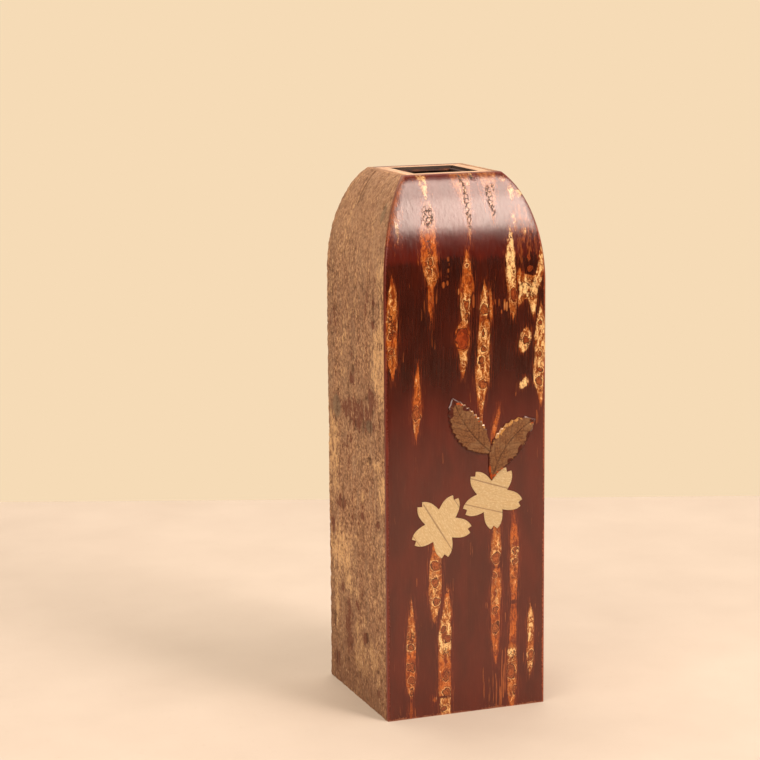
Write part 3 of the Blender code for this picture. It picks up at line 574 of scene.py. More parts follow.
def polished_bark():
    """Cherry bark ground flat and polished: dark red, with pale lenticels that run up and down."""
    bark = Finish("polished_bark")
    place = bark.place()
    height = bark.axis(place, "Z")
    pale = bark.field("paleness")
    eye = bark.field("eye")
    eye_heat = bark.field("eye_heat")
    border = bark.field("border")
    fibres = bark.noise(place, (1.9, 1.9, .13), detail=3.0, roughness=.6)
    hairs = bark.noise(place, (5.0, 5.0, .35))
    clouds = bark.noise(place, (.10, .10, .035))
    speck = bark.noise(place, (1.5, 1.5, 1.0), detail=3.0, roughness=.6)
    swirl = bark.wobbled(place, .30, 1.8)
    mottle = bark.noise(swirl, (.72, .72, .17))
    marbling = bark.noise(swirl, (.40, .40, .22), detail=1.0)

    ragged = bark.field("lenticel") + (fibres - .5) * 2.2 + (speck - .5) * 1.2
    worn = bark.step(border + (speck - .5) * 2.2 + (clouds - .5) * 3.0, 1.1, .0)
    ground = polished_ground(bark, height, ragged, fibres, hairs, clouds)
    ground = worn_ground(bark, ground, place, height, worn, border, speck, clouds)
    faint = bark.field("fibre")
    thread = bark.mix(bark.step(faint, .76, .95), paint(160, 82, 34), paint(226, 176, 106))
    ground = bark.mix(bark.step(faint + (fibres - .5) * 1.3, .22, .75) * .85, ground, thread)

    drawn = eye + (speck - .5) * .9 + (mottle - .5) * 1.2
    core = eye_core(bark, drawn, eye_heat, speck, mottle)
    flesh = lenticel_flesh(bark, pale, ragged, hairs, speck, mottle, marbling)
    flesh = ringed_flesh(bark, flesh, pale, drawn, eye_heat, mottle, marbling)
    flesh = bark.mix(bark.step(drawn, -.22, -.02), flesh, core)

    crazing = bark.cell_edges(bark.wobbled(place, .8, 1.0), (.62, .62, .36))
    crack = bark.step(crazing, .12, .03) * bark.step(bark.field("cracked") + (speck - .5) * .6, .35, .6)
    shoulder = bark.step(height, 224, 236)
    # On the shoulder, which faces the strip light, the lenticels are dulled with painted shade against the
    # light they catch there. The cracks keep their own dark colour everywhere, and on the shoulder they get a
    # further painted shade where the highlight falls.
    flesh = bark.layered(flesh,
                         (crack * .9, 70, 30, 12),
                         (shoulder * (.7 - pale * .45), 100, 56, 30),
                         (crack * shoulder * .85, 34, 20, 14))

    mark = bark.step(ragged, -.1, .4)
    lone_eye = bark.step(eye, .0, .3) * (1 - mark) * .7
    colour = bark.mix(lone_eye, bark.mix(mark, ground, flesh), core)
    brushed = bark.noise(place, (.7, .7, .05))
    combed = bark.noise(place, (1.3, 1.3, .05))
    relief = brushed * .05 + fibres * .006 + mark * .006 - crack * (shoulder * .03 + .01)
    dull = worn * .15 + crack * shoulder * mark * .45 + combed * .20
    bark.set(Base_Color=colour, Roughness=.075 + hairs * .05 + dull,
             Normal=bark.bump(relief), Specular_Tint=(1.0, .93, .84, 1.0), IOR=1.6)
    return bark.material


def rough_bark():
    """The bark as it grew: grey-brown stripes up and down, golden and rusty flecks, creases in painted shade.
    """
    bark = Finish("rough_bark")
    place = bark.place()
    height = bark.axis(place, "Z")
    crease = bark.field("crease")
    tint = bark.field("tint")
    lichen = bark.field("lichen")
    grain = bark.noise(place, (.72, .72, .62), detail=4.0, roughness=.62)
    stripes = bark.noise(place, (.34, .34, .07), detail=4.0, roughness=.62)
    bands = bark.noise(place, (.10, .10, .016))
    hues = bark.noise(place, (.36, .36, .16), detail=4.0, roughness=.66)
    rusts = bark.noise(place, (.29, .29, .12), detail=4.0, roughness=.66)
    clouds = bark.noise(place, (.05, .05, .035), detail=3.0)
    flecks = bark.noise(place, (.60, .60, .28), detail=4.0, roughness=.7)
    golden = bark.step(hues + tint * .20 + (grain - .5) * .6, .54, .80)
    rusty = bark.step(rusts - tint * .26 - (grain - .5) * .4, .58, .73)
    calm = bark.step(height + (clouds - .5) * 50, 190.0, 230.0)
    # The creases, pits and fissures of the relief are darkened with painted shade.
    crease_shade = bark.step(crease + (grain - .5) * .8, .30, 1.0)
    flaked = bark.step(flecks + tint * .04 - crease * .10, .55, .70)
    base = bark.mix(bark.step(grain, .32, .68), paint(114, 77, 52), paint(194, 150, 110))
    base = bark.layered(base,
                        (bark.step(stripes, .54, .68) * .55, 162, 134, 106),
                        (bark.step(stripes, .46, .32) * .65, 106, 68, 44),
                        (bark.step(bands, .40, .62) * .35, 146, 116, 88),
                        (bark.step(clouds, .50, .66) * .30, 122, 82, 58),
                        (golden * .75, 222, 178, 124),
                        (rusty * .75, 104, 52, 35),
                        (calm * .40, 176, 138, 104),
                        (bark.step(height, 70.0, .0) * .58, 108, 70, 46),
                        (bark.step(lichen + (grain - .5) * .8, .3, .8) * .6, 120, 104, 80),
                        (crease_shade * (.7 - calm * .2), 76, 45, 28),
                        (flaked * (.65 - calm * .2), 232, 194, 146))
    relief = grain * .34 + stripes * .30
    bark.set(Base_Color=base, Roughness=.82 + grain * .14, Normal=bark.bump(relief),
             Specular_IOR_Level=.3)
    return bark.material


def core_wood(name, along):
    """Light wood of the core boards, its grain lines parallel to the board's side of the rim."""
    wood = Finish(name)
    place = wood.place()
    run = (.05, 1.0, .05) if along == "x" else (1.0, .05, .05)
    lines = wood.noise(wood.vectors("MULTIPLY", place, run), scale=1.4, detail=4.0, roughness=.6)
    pores = wood.noise(place, scale=2.2, detail=3.0)
    colour = wood.mix(wood.step(lines, .3, .7), paint(176, 134, 98), paint(226, 190, 150))
    colour = wood.mix(wood.step(pores, .35, .15) * .6, colour, paint(128, 84, 52))
    out = abs(wood.axis(place, "X")).at_least(abs(wood.axis(place, "Y")))
    # Near black on the walls of the bore.
    dark_bore = wood.step(out + (pores - .5) * .5, BORE_HALF / MM + .45, BORE_HALF / MM + .15)
    colour = wood.mix(dark_bore * .95, colour, wood.mix(lines, paint(24, 17, 13), paint(66, 48, 36)))
    wood.set(Base_Color=colour, Roughness=.55 + pores * .2, Normal=wood.bump(lines * .04 + pores * .02))
    return wood.material


def along_line(across, height, start, run):
    """How far a place on the front lies along a line and aside from it, in mm."""
    along = (across - start[0]) * run.x + (height - start[1]) * run.y
    aside = (height - start[1]) * run.x - (across - start[0]) * run.y
    return along, aside


def blossom_wood(name, lines, shade):
    """Pale fine-grained wood of a blossom, its grain along the first of the brown heart lines."""
    wood = Finish(name)
    place = wood.place()
    across = wood.axis(place, "X")
    height = wood.axis(place, "Z")
    start, end, _ = lines[0]
    along, aside = along_line(across, height, start, (Vector(end) - Vector(start)).normalized())
    laid = wood.add("ShaderNodeCombineXYZ", {}, {"X": along, "Y": aside})
    grain = wood.noise(laid, (.16, 1.7, 1.0), detail=4.0, roughness=.6)
    figure = wood.noise(laid, (.06, .35, 1.0), detail=3.0, distortion=.3)
    pores = wood.noise(place, scale=2.6, detail=3.0, roughness=.6)
    specks = wood.noise(laid, (.7, 1.6, 1.0), detail=4.0, roughness=.7)
    colour = wood.mix(wood.step(grain, .25, .75), paint(186, 156, 106), paint(202, 176, 128))
    colour = wood.layered(colour,
                          (wood.step(figure, .4, .7) * .4, 196, 162, 108),
                          (wood.step(specks, .46, .68) * .6, 224, 206, 162),
                          (wood.step(pores, .46, .30) * .65, 150, 108, 58))
    colour = wood.shaded(colour, shade)
    waver = (figure - .5) * .5 + (pores - .5) * .25
    for start, end, width in lines:
        run = Vector(end) - Vector(start)
        along, aside = along_line(across, height, start, run.normalized())
        line = wood.step(abs(aside) + waver, width * 1.5, width * .4)
        within = wood.step(along, .0, .8) * wood.step(along, run.length, run.length - .8)
        colour = wood.mix(line * within * .58, colour, paint(104, 66, 38))
    wood.set(Base_Color=colour, Roughness=.42 + grain * .2, Normal=wood.bump(grain * .02 + pores * .012))
    return wood.material


def leaf_bark():
    """Rough bark of the leaves: grey-brown with dark veins, ground to a dark red gloss at the teeth."""
    bark = Finish("leaf_bark")
    place = bark.place()
    vein = bark.field("vein")
    margin = bark.field("margin")
    lit = bark.field("golden")
    ember = bark.field("ember")
    burnt = bark.field("burnt")
    gloss = bark.field("gloss")
    flecks = bark.noise(place, scale=1.1, detail=5.0, roughness=.7)
    patches = bark.noise(place, scale=.75)
    streaks = bark.noise(place, (.5, .5, 1.6), detail=4.0, roughness=.6, distortion=.5)
    clouds = bark.noise(place, scale=.16, detail=3.0)
    # Dark red where burnt, and in one place a painted shade under a curled tooth.
    red = bark.step(margin + (flecks - .5) * 2.0 - burnt * 3, .9, .1)
    # The gold is painted light: a lit strip along the upper teeth of each leaf, and at the right leaf's tip.
    gold = bark.step(lit + (patches - .5) * 2.6 + (flecks - .5) * .8, .62, .95)
    glowing = bark.step(ember + (flecks - .5) * .9, .5, 1.0)
    colour = bark.mix(bark.step(flecks, .3, .7), paint(85, 49, 29), paint(138, 95, 57))
    colour = bark.layered(colour,
                          (bark.step(streaks, .55, .8) * .5, 98, 66, 46),
                          (bark.step(clouds, .45, .65) * .4, 138, 106, 72),
                          (vein * bark.step(streaks, .25, .6) * .65, 46, 22, 14),
                          (red * .9, 70, 20, 10),
                          (gold * .8, 192, 140, 74),
                          (glowing * .9, 170, 70, 18))
    polish = bark.step(margin, .8, .5)
    glints = polish * bark.step(gloss + (patches - .5) * 2.4, .35, .75)
    bark.set(Base_Color=colour, Roughness=.78, Coat_Weight=glints, Coat_IOR=1.9,
             Coat_Roughness=.07, Specular_IOR_Level=.2,
             Normal=bark.bump((flecks * .08 + streaks * .03) * (1 - polish)))
    return bark.material


def dark_copper():
    """Water tube of copper with a dark patina."""
    copper = Finish("dark_copper")
    place = copper.place()
    bloom = copper.noise(place, scale=.18, detail=4.0, roughness=.6)
    drawn = copper.vectors("MULTIPLY", place, (1.6, 1.6, .2))
    scuffs = copper.noise(drawn, scale=1.2, detail=3.0)
    colour = copper.mix(copper.step(bloom, .35, .7), paint(44, 30, 24), paint(92, 56, 38))
    colour = copper.mix(copper.step(scuffs, .6, .8) * .4, colour, paint(134, 84, 56))
    copper.set(Base_Color=colour, Metallic=.9, Roughness=.36 + bloom * .25,
               Normal=copper.bump(scuffs * .02))
    return copper.material


def floor_paper():
    """Plain pale tabletop with a slight mottle."""
    paper = Finish("floor_paper")
    place = paper.place()
    mottle = paper.noise(place, scale=.02, detail=4.0)
    fine = paper.noise(place, scale=.25, detail=3.0)
    colour = paper.mix(mottle, paint(196, 184, 165), paint(210, 199, 180))
    colour = paper.mix(paper.step(fine, .6, .8) * .2, colour, paint(190, 172, 150))
    paper.set(Base_Color=colour, Roughness=.85, Normal=paper.bump(fine * .05))
    return paper.material


# Shapes

def drift(across, up, seed):
    """Soft noise from -1 to 1 over a plane, the same for the same seed."""
    size = 256
    table = np.random.default_rng(seed).uniform(-1.0, 1.0, (size, size))
    left = np.floor(across).astype(int)
    low = np.floor(up).astype(int)
    s = across - left
    t = up - low
    s = s * s * (3 - 2 * s)
    t = t * t * (3 - 2 * t)
    corners = [table[(left + i) % size, (low + j) % size] for i in (0, 1) for j in (0, 1)]
    return (corners[0] * (1 - s) + corners[2] * s) * (1 - t) + (corners[1] * (1 - s) + corners[3] * s) * t


def rough_drift(across, up, seed, layers, fall=0.5):
    """Soft noise in layers, each finer and fainter than the one before."""
    total = np.zeros_like(across)
    for layer in range(layers):
        total += drift(across * 2 ** layer, up * 2 ** layer, seed + layer) * fall ** layer
    return total


def shoulder_curve(inset):
    """Half widths and heights up the shoulder, on a surface set in from the outside."""
    share = np.linspace(0.0, 1.0, SHOULDER_POINTS)
    bend = BODY_HEIGHT - (HALF - RIM_HALF) / math.tan(RIM_LEAN)
    weights = ((1 - share) ** 2, 2 * SHOULDER_FULLNESS * share * (1 - share), share ** 2)
    total = weights[0] + weights[1] + weights[2]
    width = (HALF * weights[0] + HALF * weights[1] + RIM_HALF * weights[2]) / total
    height = (SHOULDER_LINE * weights[0] + bend * weights[1] + BODY_HEIGHT * weights[2]) / total
    rise = np.gradient(height)
    lean = np.gradient(width)
    length = np.hypot(rise, lean)
    return width - rise / length * inset, height + lean / length * inset


def half_width(height, inset=0.0):
    """Half width of the body at each height, on a surface set in from the outside."""
    width, level = shoulder_curve(inset)
    beyond = BODY_HEIGHT + MM
    top = width[-1] - (beyond - level[-1]) * math.tan(RIM_LEAN)
    return np.interp(height, [0.0, *level, beyond], [HALF - inset, *width, top])


def surface_run():
    """Heights up the outside of the body, and the way along the surface to each from the foot."""
    width, level = shoulder_curve(0.0)
    width = np.array([HALF, *width])
    level = np.array([0.0, *level])
    run = np.concatenate([[0.0], np.cumsum(np.hypot(np.diff(width), np.diff(level)))])
    return level, run


def facing_levels(pitch):
    """Heights of the rows of a facing, evenly spaced along its surface."""
    level, run = surface_run()
    rows = int(round(run[-1] / pitch))
    return np.interp(np.linspace(0.0, run[-1], rows + 1), run, level)


def closed_loft(name, rings):
    """A closed mesh through level rings that have as many points each."""
    rows, around, _ = rings.shape
    low = np.arange(rows - 1)[:, None] * around
    here = np.arange(around)[None, :]
    following = (here + 1) % around
    quads = np.stack([low + here, low + following, low + around + following, low + around + here], -1)
    faces = quads.reshape(-1, 4).tolist()
    faces.append(list(range(around))[::-1])
    faces.append(list(range((rows - 1) * around, rows * around)))
    mesh = bpy.data.meshes.new(name)
    mesh.from_pydata(rings.reshape(-1, 3).tolist(), [], faces)
    bm = bmesh.new()
    bm.from_mesh(mesh)
    bmesh.ops.recalc_face_normals(bm, faces=bm.faces)
    bm.to_mesh(mesh)
    bm.free()
    return mesh


def extruded_mesh(name, bm, y):
    """A closed mesh from one layer of faces carried straight on to a plane across y."""
    pushed = bmesh.ops.extrude_face_region(bm, geom=bm.faces[:])
    for part in pushed["geom"]:
        if isinstance(part, bmesh.types.BMVert):
            part.co.y = y
    bmesh.ops.recalc_face_normals(bm, faces=bm.faces)
    mesh = bpy.data.meshes.new(name)
    bm.to_mesh(mesh)
    bm.free()
    return mesh


def add_object(name, data):
    """A new object in the scene."""
    piece = bpy.data.objects.new(name, data)
    bpy.context.scene.collection.objects.link(piece)
    return piece


def keep_fields(mesh, **fields):
    """Keep numbers on a mesh's points, for its material."""
    for name, values in fields.items():
        kept = mesh.attributes.new(name, "FLOAT", "POINT")
        kept.data.foreach_set("value", np.ascontiguousarray(values, dtype=np.float32))


def points_of(mesh):
    """Places of a mesh's points, one row each."""
    flat = np.empty(len(mesh.vertices) * 3, np.float32)
    mesh.vertices.foreach_get("co", flat)
    return flat.reshape(-1, 3).astype(float)


def ramp(value, start, width):
    """0 at start, 1 at a width beyond it and straight between; a width below 0 leads downwards."""
    return np.clip((value - start) / width, 0, 1)


def ovals(across, up, x, z, wide, tall):
    """How far places lie from the middle of an oval, which is 1 on its edge."""
    return np.hypot((across - x) / wide, (up - z) / tall)


def eased(across, outer):
    """How far the polished face falls away towards its ends, where hands have worn it."""
    from_end = outer - np.abs(across)
    return EDGE_EASE * np.clip(1 - from_end / EDGE_EASE_WIDTH, 0, 1) ** EDGE_EASE_CURVE


def polished_facing_mesh(name, lapped):
    """A polished facing. A lapped one runs to the corners, worn round, and the other stops short."""
    levels = facing_levels(POLISHED_PITCH)
    outer = half_width(levels)
    inner = half_width(levels, FACING + SEAT_GAP - JOINT)
    columns = int(round(2 * HALF / POLISHED_PITCH))
    reach = outer - ARRIS_RADIUS if lapped else half_width(levels, FACING + SEAT_GAP)
    section = []
    for k in range(columns + 1):
        x = reach * (2 * k / columns - 1)
        section.append((x, eased(x, outer) - outer))
    if lapped:
        turns = np.radians(90) * np.arange(1, ARRIS_STEPS + 1) / ARRIS_STEPS
        edge = eased(outer, outer) - outer
        corner = [(reach + ARRIS_RADIUS * math.sin(turn), edge + ARRIS_RADIUS * (1 - math.cos(turn)))
                  for turn in turns]
        section = [(-x, y) for x, y in reversed(corner)] + section + corner
        reach = outer
    section += [(reach, -inner), (-reach, -inner)]
    rings = np.stack([np.stack([x, y, levels], -1) for x, y in section], 1)
    return closed_loft(name, rings)


def rough_relief(across, up, seed, fissures):
    """How far the rough bark lies below the facing's outer face, in mm, and how creased it is."""
    tilt = math.radians(12)
    bend = rough_drift(across / 14, up / 14, seed + 50, 2) * 1.6
    along = across * math.cos(tilt) + up * math.sin(tilt)
    square = up * math.cos(tilt) - across * math.sin(tilt) + bend
    wrinkles = 1 - np.abs(rough_drift(along / 3.8, square / 2.1, seed, 3, .55))
    scales = rough_drift(along / 2.6, square / 2.8, seed + 10, 3, .55)
    swell = rough_drift(across / 18, up / 26, seed + 20, 2)
    crease = np.clip((wrinkles - .55) / .45, 0, 1) ** 2
    pits = np.clip(rough_drift(across / 3.2, up / 2.2, seed + 30, 2) - .70, 0, 1)
    split = fibre_field(across + drift(across / 2, up / 3, seed + 40) * .5, up, fissures)
    depth = .22 * crease - .15 * scales + .08 * swell + .24 * pits + .3 * split
    return np.clip(depth, -.24, .6), np.clip(crease * .6 + pits + .14 - scales * .26 + split, 0, 1.4)


def rough_facing_mesh(name, seed, back_end, fissures):
    """A rough facing with its wrinkles as real relief. Its back end, at -1 or 1, laps the back's."""
    levels = facing_levels(ROUGH_PITCH)
    outer = half_width(levels)
    inner = half_width(levels, FACING + SEAT_GAP - JOINT)
    end = half_width(levels, FACING + SEAT_GAP)
    left = -outer if back_end < 0 else -end
    right = outer if back_end > 0 else end
    columns = int(round(2 * HALF / ROUGH_PITCH))
    share = np.linspace(0.0, 1.0, columns + 1)
    across = left[:, None] * (1 - share) + right[:, None] * share
    up = np.broadcast_to(levels[:, None], across.shape)
    depth, _ = rough_relief(across / MM, up / MM, seed, fissures)
    from_back = outer[:, None] - across * back_end
    depth = depth * MM + CORNER_RADIUS * np.clip(1 - from_back / CORNER_RADIUS, 0, 1) ** 2
    lean = np.gradient(outer, levels)
    length = np.hypot(1.0, lean)
    y = -(outer[:, None] - depth / length[:, None])
    z = up + depth * (lean / length)[:, None]
    z = np.clip(z, 0.0, BODY_HEIGHT)
    z[0] = 0.0
    z[-1] = BODY_HEIGHT
    skin = np.stack([across, y, z], -1)
    back = np.stack([np.stack([x, -inner, levels], -1) for x in (right, left)], 1)
    return closed_loft(name, np.concatenate([skin, back], 1))


def turn_to_side(mesh, turns):
    """Turn what is drawn as the front to its own side, by quarter turns."""
    mesh.transform(Matrix.Rotation(math.radians(90) * turns, 4, "Z"))


def map_facing(mesh):
    """Lay the facing out flat for baking: its outer face large, its edges, back and ends beside it."""
    mesh.update()
    corners = np.empty(len(mesh.loops), np.int32)
    mesh.loops.foreach_get("vertex_index", corners)
    normals = np.empty(len(mesh.polygons) * 3, np.float32)
    mesh.polygons.foreach_get("normal", normals)
    sizes = np.empty(len(mesh.polygons), np.int32)
    mesh.polygons.foreach_get("loop_total", sizes)
    facing_x, facing_y, facing_z = np.repeat(normals.reshape(-1, 3), sizes, axis=0).T
    x, y, z = points_of(mesh)[corners].T
    level, run = surface_run()
    scale = MAP_TALL / (run[-1] + MM)
    first_edge = MAP_LEFT + (2 * HALF + MAP_GAP) * scale
    from_left = (x + HALF) * scale
    deep = (y + half_width(z)) * scale
    close = 1e-5
    at_edge = np.abs(x) > half_width(z) - close
    in_end = np.abs(facing_z) > 0.9
    u = MAP_LEFT + from_left
    v = MAP_LOW + np.interp(z, level, run) * scale
    u = np.where((facing_x < -0.7) & at_edge, first_edge + deep, u)
    u = np.where((facing_x > 0.7) & at_edge, first_edge + MAP_OTHER_EDGE + deep, u)
    u = np.where(facing_y > 0.3, first_edge + MAP_BACK + from_left * MAP_BACK_WIDTH, u)
    u = np.where(in_end, first_edge + MAP_ENDS + (y + HALF) * scale, u)
    v = np.where(in_end, MAP_LOW + from_left * MAP_END_WIDTH + (facing_z > 0) * MAP_UPPER_END, v)
    layer = mesh.uv_layers.new(name="OFBake")
    layer.data.foreach_set("uv", np.stack([u, v], -1).astype(np.float32).ravel())


# Marks in the polished bark

def lenticel_fields(across, up, lenticels):
    """How far each point is inside the nearest lenticel, in mm, and how pale that one is there."""
    outside, margin, round_end = -6.0, 4, .15
    inside = np.full(across.shape, outside)
    pale = np.zeros(across.shape)
    for stations in lenticels:
        rising = sorted(stations)
        height, left, right, tone = (np.array(column, float) for column in zip(*rising))
        near = np.flatnonzero((up > height[0] - margin) & (up < height[-1] + margin))
        x, z = across[near], up[near]
        depth = np.minimum(x - np.interp(z, height, left), np.interp(z, height, right) - x)
        depth = np.minimum(depth, np.minimum(height[-1] - z, z - height[0]) + round_end)
        better = depth > inside[near]
        inside[near[better]] = depth[better]
        pale[near[better]] = np.interp(z[better], height, tone)
    return inside, pale


def eye_fields(across, up, eyes):
    """How far each point is inside the nearest eye, in mm, and that one's heat."""
    outside = -5.0
    inside = np.full(across.shape, outside)
    heat = np.zeros(across.shape)
    for x, z, wide, tall, warm in eyes:
        depth = (1 - ovals(across, up, x, z, wide, tall)) * math.sqrt(wide * tall)
        better = depth > inside
        inside[better] = depth[better]
        heat[better] = warm
    return inside, heat


def spot_field(across, up, spots):
    """1 well inside the nearest of some oval spots, and 0 from half as far again as its edge."""
    total = np.zeros(across.shape)
    for spot in spots:
        total = np.maximum(total, np.clip(1.5 - ovals(across, up, *spot), 0, 1))
    return total


def fibre_field(across, up, fibres):
    """The strength of the nearest fibre, each drawn to a point at both ends."""
    total = np.zeros(across.shape)
    for x, top, bottom, wide, strength in fibres:
        middle, reach = (top + bottom) / 2, (top - bottom) / 2
        taper = np.clip(1 - ((up - middle) / reach) ** 2, 0, 1)
        aside = np.clip(1.3 - np.abs(across - x) / (wide / 2 * np.sqrt(taper) + .12), 0, 1)
        total = np.maximum(total, aside * np.minimum(taper * 4, 1) * strength)
    return total


def scattered_fibres(seed, lenticels, count):
    """Short faint fibres, most of them close beside a lenticel."""
    pick = np.random.default_rng(seed)
    fibres = []
    for _ in range(count):
        stations = lenticels[int(pick.integers(len(lenticels)))]
        height, left, right, _ = stations[int(pick.integers(len(stations)))]
        side = left - pick.gamma(2.0, .8) if pick.random() < .5 else right + pick.gamma(2.0, .8)
        top = height + pick.uniform(-8, 8)
        length = pick.uniform(2, 9)
        fibres.append((side, top, top - length, pick.uniform(.3, .7), pick.uniform(.25, .55)))
    return fibres


def grown_stations(pick, x, top, length, wide, tone):
    """Stations of one lenticel, rounded at its ends and swaying a little."""
    stations, steps = [], 6
    for k in range(steps + 1):
        share = k / steps
        reach = wide / 2 * (math.sin(math.pi * min(max(share, .02), .98)) ** .55)
        sway = pick.uniform(-.5, .5)
        pale = min(1.0, max(0.1, tone + pick.uniform(-.25, .25)))
        stations.append((top - length * share, x + sway - reach, x + sway + reach, pale))
    return stations


def grown_lenticels(seed):
    """Lenticels, eyes and cracks for the back, which nobody has seen: the front's kind, by chance."""
    columns, first, pitch, foot, eye_steps = 11, -36, 7.2, 12, 6
    pick = np.random.default_rng(seed)
    lenticels, eyes, cracks = [], [], []
    for column in range(columns):
        x = first + pitch * column + pick.uniform(-2.2, 2.2)
        z = pick.uniform(215, 262)
        while z > foot:
            length = pick.uniform(16, 52)
            wide = pick.uniform(2.6, 7.0)
            tone = pick.uniform(.25, .85)
            lenticels.append(grown_stations(pick, x, z, length, wide, tone))
            for k in range(1, eye_steps):
                if pick.random() < .6 and wide > 3.4:
                    eyes.append((x + pick.uniform(-.5, .5), z - length * k / eye_steps,
                                 wide * pick.uniform(.22, .32), wide * pick.uniform(.26, .42),
                                 pick.uniform(0, .6)))
            if pick.random() < .35:
                cracks.append((x, z - length / 2, wide * .35, length * .25))
            z -= length + pick.uniform(6, 60)
    return lenticels, eyes, cracks


def mark_polished(mesh, lenticels, eyes, cracks, fibres):
    """Keep the marks of the polished bark on a facing's points."""
    x, y, z = points_of(mesh).T
    across = x / MM
    up = z / MM
    half = half_width(z) / MM
    sway = drift(across / 5, up / 9, 71) * .25
    inside, pale = lenticel_fields(across + sway, up, lenticels)
    aside = drift(across / 1.5, up / 1.9, 91) * .75 + drift(across / .8, up / .9, 93) * .25
    above = drift(across / 1.6, up / 1.7, 92) * .9
    eye, heat = eye_fields(across + sway + aside, up + above, eyes)
    border = np.minimum(half - np.abs(across), np.minimum(up, (BODY_HEIGHT / MM - up) * 1.4))
    behind = np.clip(y / MM + half, 0, 2)
    keep_fields(mesh, lenticel=inside, paleness=pale, eye=eye, eye_heat=heat,
                cracked=spot_field(across, up, cracks), fibre=fibre_field(across + sway, up, fibres),
                border=np.maximum(border - behind, 0))


# Inlays

def bezier(a, b, c, d, share):
    """Point on a cubic curve."""
    rest = 1 - share
    return a * rest ** 3 + b * 3 * rest ** 2 * share + c * 3 * rest * share ** 2 + d * share ** 3


def blossom_outline(centre, turn):
    """Outline in the front's plane: five petals, each with a notch between two lobes."""
    valley_angle = math.pi / PETALS
    half_petal = PETAL_WIDTH / 2
    valley = Vector((math.cos(valley_angle), math.sin(valley_angle))) * VALLEY_RADIUS
    lobe = Vector((math.sqrt(BLOSSOM_RADIUS ** 2 - (LOBE_SPREAD / 2) ** 2), LOBE_SPREAD / 2))
    reach = lobe.x - valley.x
    side_low = Vector((valley.x + reach * FLANK_FROM_VALLEY, half_petal))
    side_high = Vector((lobe.x - reach * FLANK_FROM_LOBE, half_petal * FLANK_DRAWN_IN))
    rising = [bezier(valley, side_low, side_high, lobe, step / PETAL_STEPS)
              for step in range(PETAL_STEPS + 1)]
    notch = Vector((lobe.x - NOTCH_DEPTH, 0.0))
    lower_side = [Vector((p.x, -p.y)) for p in rising]
    petal = [*lower_side, notch, *reversed(rising[1:])]
    outline = []
    for number in range(PETALS):
        angle = turn + number * math.tau / PETALS
        across = Vector((math.cos(angle), math.sin(angle)))
        up = Vector((-across.y, across.x))
        outline.extend(centre + across * p.x + up * p.y for p in petal)
    return outline


def leaf_rib(base, tip, bow, share):
    """Point on the bowed midrib and the direction square to it, to its left."""
    chord = tip - base
    left = Vector((-chord.y, chord.x)).normalized()
    point = base + chord * share + left * (4 * bow * share * (1 - share))
    along = chord + left * (4 * bow * (1 - 2 * share))
    return point, Vector((-along.y, along.x)).normalized()


def leaf_stations():
    """Shares of the leaf's length with the tooth rise at each: the base half is smooth-edged."""
    stations = [(share, 0.0) for share in (0.0, 0.04, 0.10, 0.17)]
    pitch = (LAST_TOOTH - FIRST_TOOTH) / LEAF_TEETH
    for tooth in range(LEAF_TEETH):
        valley = FIRST_TOOTH + tooth * pitch
        stations.append((valley, 0.0))
        stations.append((valley + TOOTH_POINT * pitch, 1.0))
    return [*stations, (LAST_TOOTH, 0.0), (1.0, 0.0)]


def leaf_half_width(width, fullness, share, tooth):
    """Half width of the blade, full in the middle and drawn to a point at both ends."""
    blade = math.sin(math.pi * share ** fullness) ** BLADE_CURVE if 0.0 < share < 1.0 else 0.0
    return width / 2 * blade + TOOTH_DEPTH * tooth * min(1.0, 2 * blade)


def leaf_edges(base, tip, bow, width, fullness):
    """At each station of a leaf its share of the length, its right-hand and its left-hand edge."""
    edges = []
    for share, tooth in leaf_stations():
        point, left = leaf_rib(base, tip, bow, share)
        reach = leaf_half_width(width, fullness, share, tooth)
        edges.append((share, point - left * reach, point + left * reach))
    return edges


def leaf_outline(base, tip, bow, width, fullness):
    """Toothed outline of a leaf in the front's plane."""
    _, right_side, left_side = zip(*leaf_edges(base, tip, bow, width, fullness))
    return [*right_side, *reversed(left_side[1:-1])]


def grown_outline(outline, margin):
    """The outline moved outwards by a margin, with sharp corners held back."""
    grown = []
    for i, corner in enumerate(outline):
        before = (corner - outline[i - 1]).normalized()
        after = (outline[(i + 1) % len(outline)] - corner).normalized()
        out = Vector((before.y, -before.x)) + Vector((after.y, -after.x))
        out.normalize()
        square = max(out.dot(Vector((before.y, -before.x))), 0.5)
        grown.append(corner + out * (margin / square))
    return grown


def pocket_cutter(name, outline, margin):
    """A prism that cuts a pocket for an inlay right through the bark."""
    bm = bmesh.new()
    back = BARK_BACK + CUTTER_REACH
    bm.faces.new([bm.verts.new((p.x, back, p.y)) for p in grown_outline(outline, margin)])
    return add_object(name, extruded_mesh(name, bm, FRONT - CUTTER_REACH))


def cut_with(piece, cutters):
    """Cut the piece with each cutter, keep the result as its mesh and throw the cutters away."""
    for cutter in cutters:
        boolean = piece.modifiers.new(cutter.name, "BOOLEAN")
        boolean.operation = "DIFFERENCE"
        boolean.solver = "EXACT"
        boolean.object = cutter
    seen = piece.evaluated_get(bpy.context.evaluated_depsgraph_get())
    cut = bpy.data.meshes.new_from_object(seen)
    piece.modifiers.clear()
    piece.data = cut
    for cutter in cutters:
        bpy.data.objects.remove(cutter, do_unlink=True)


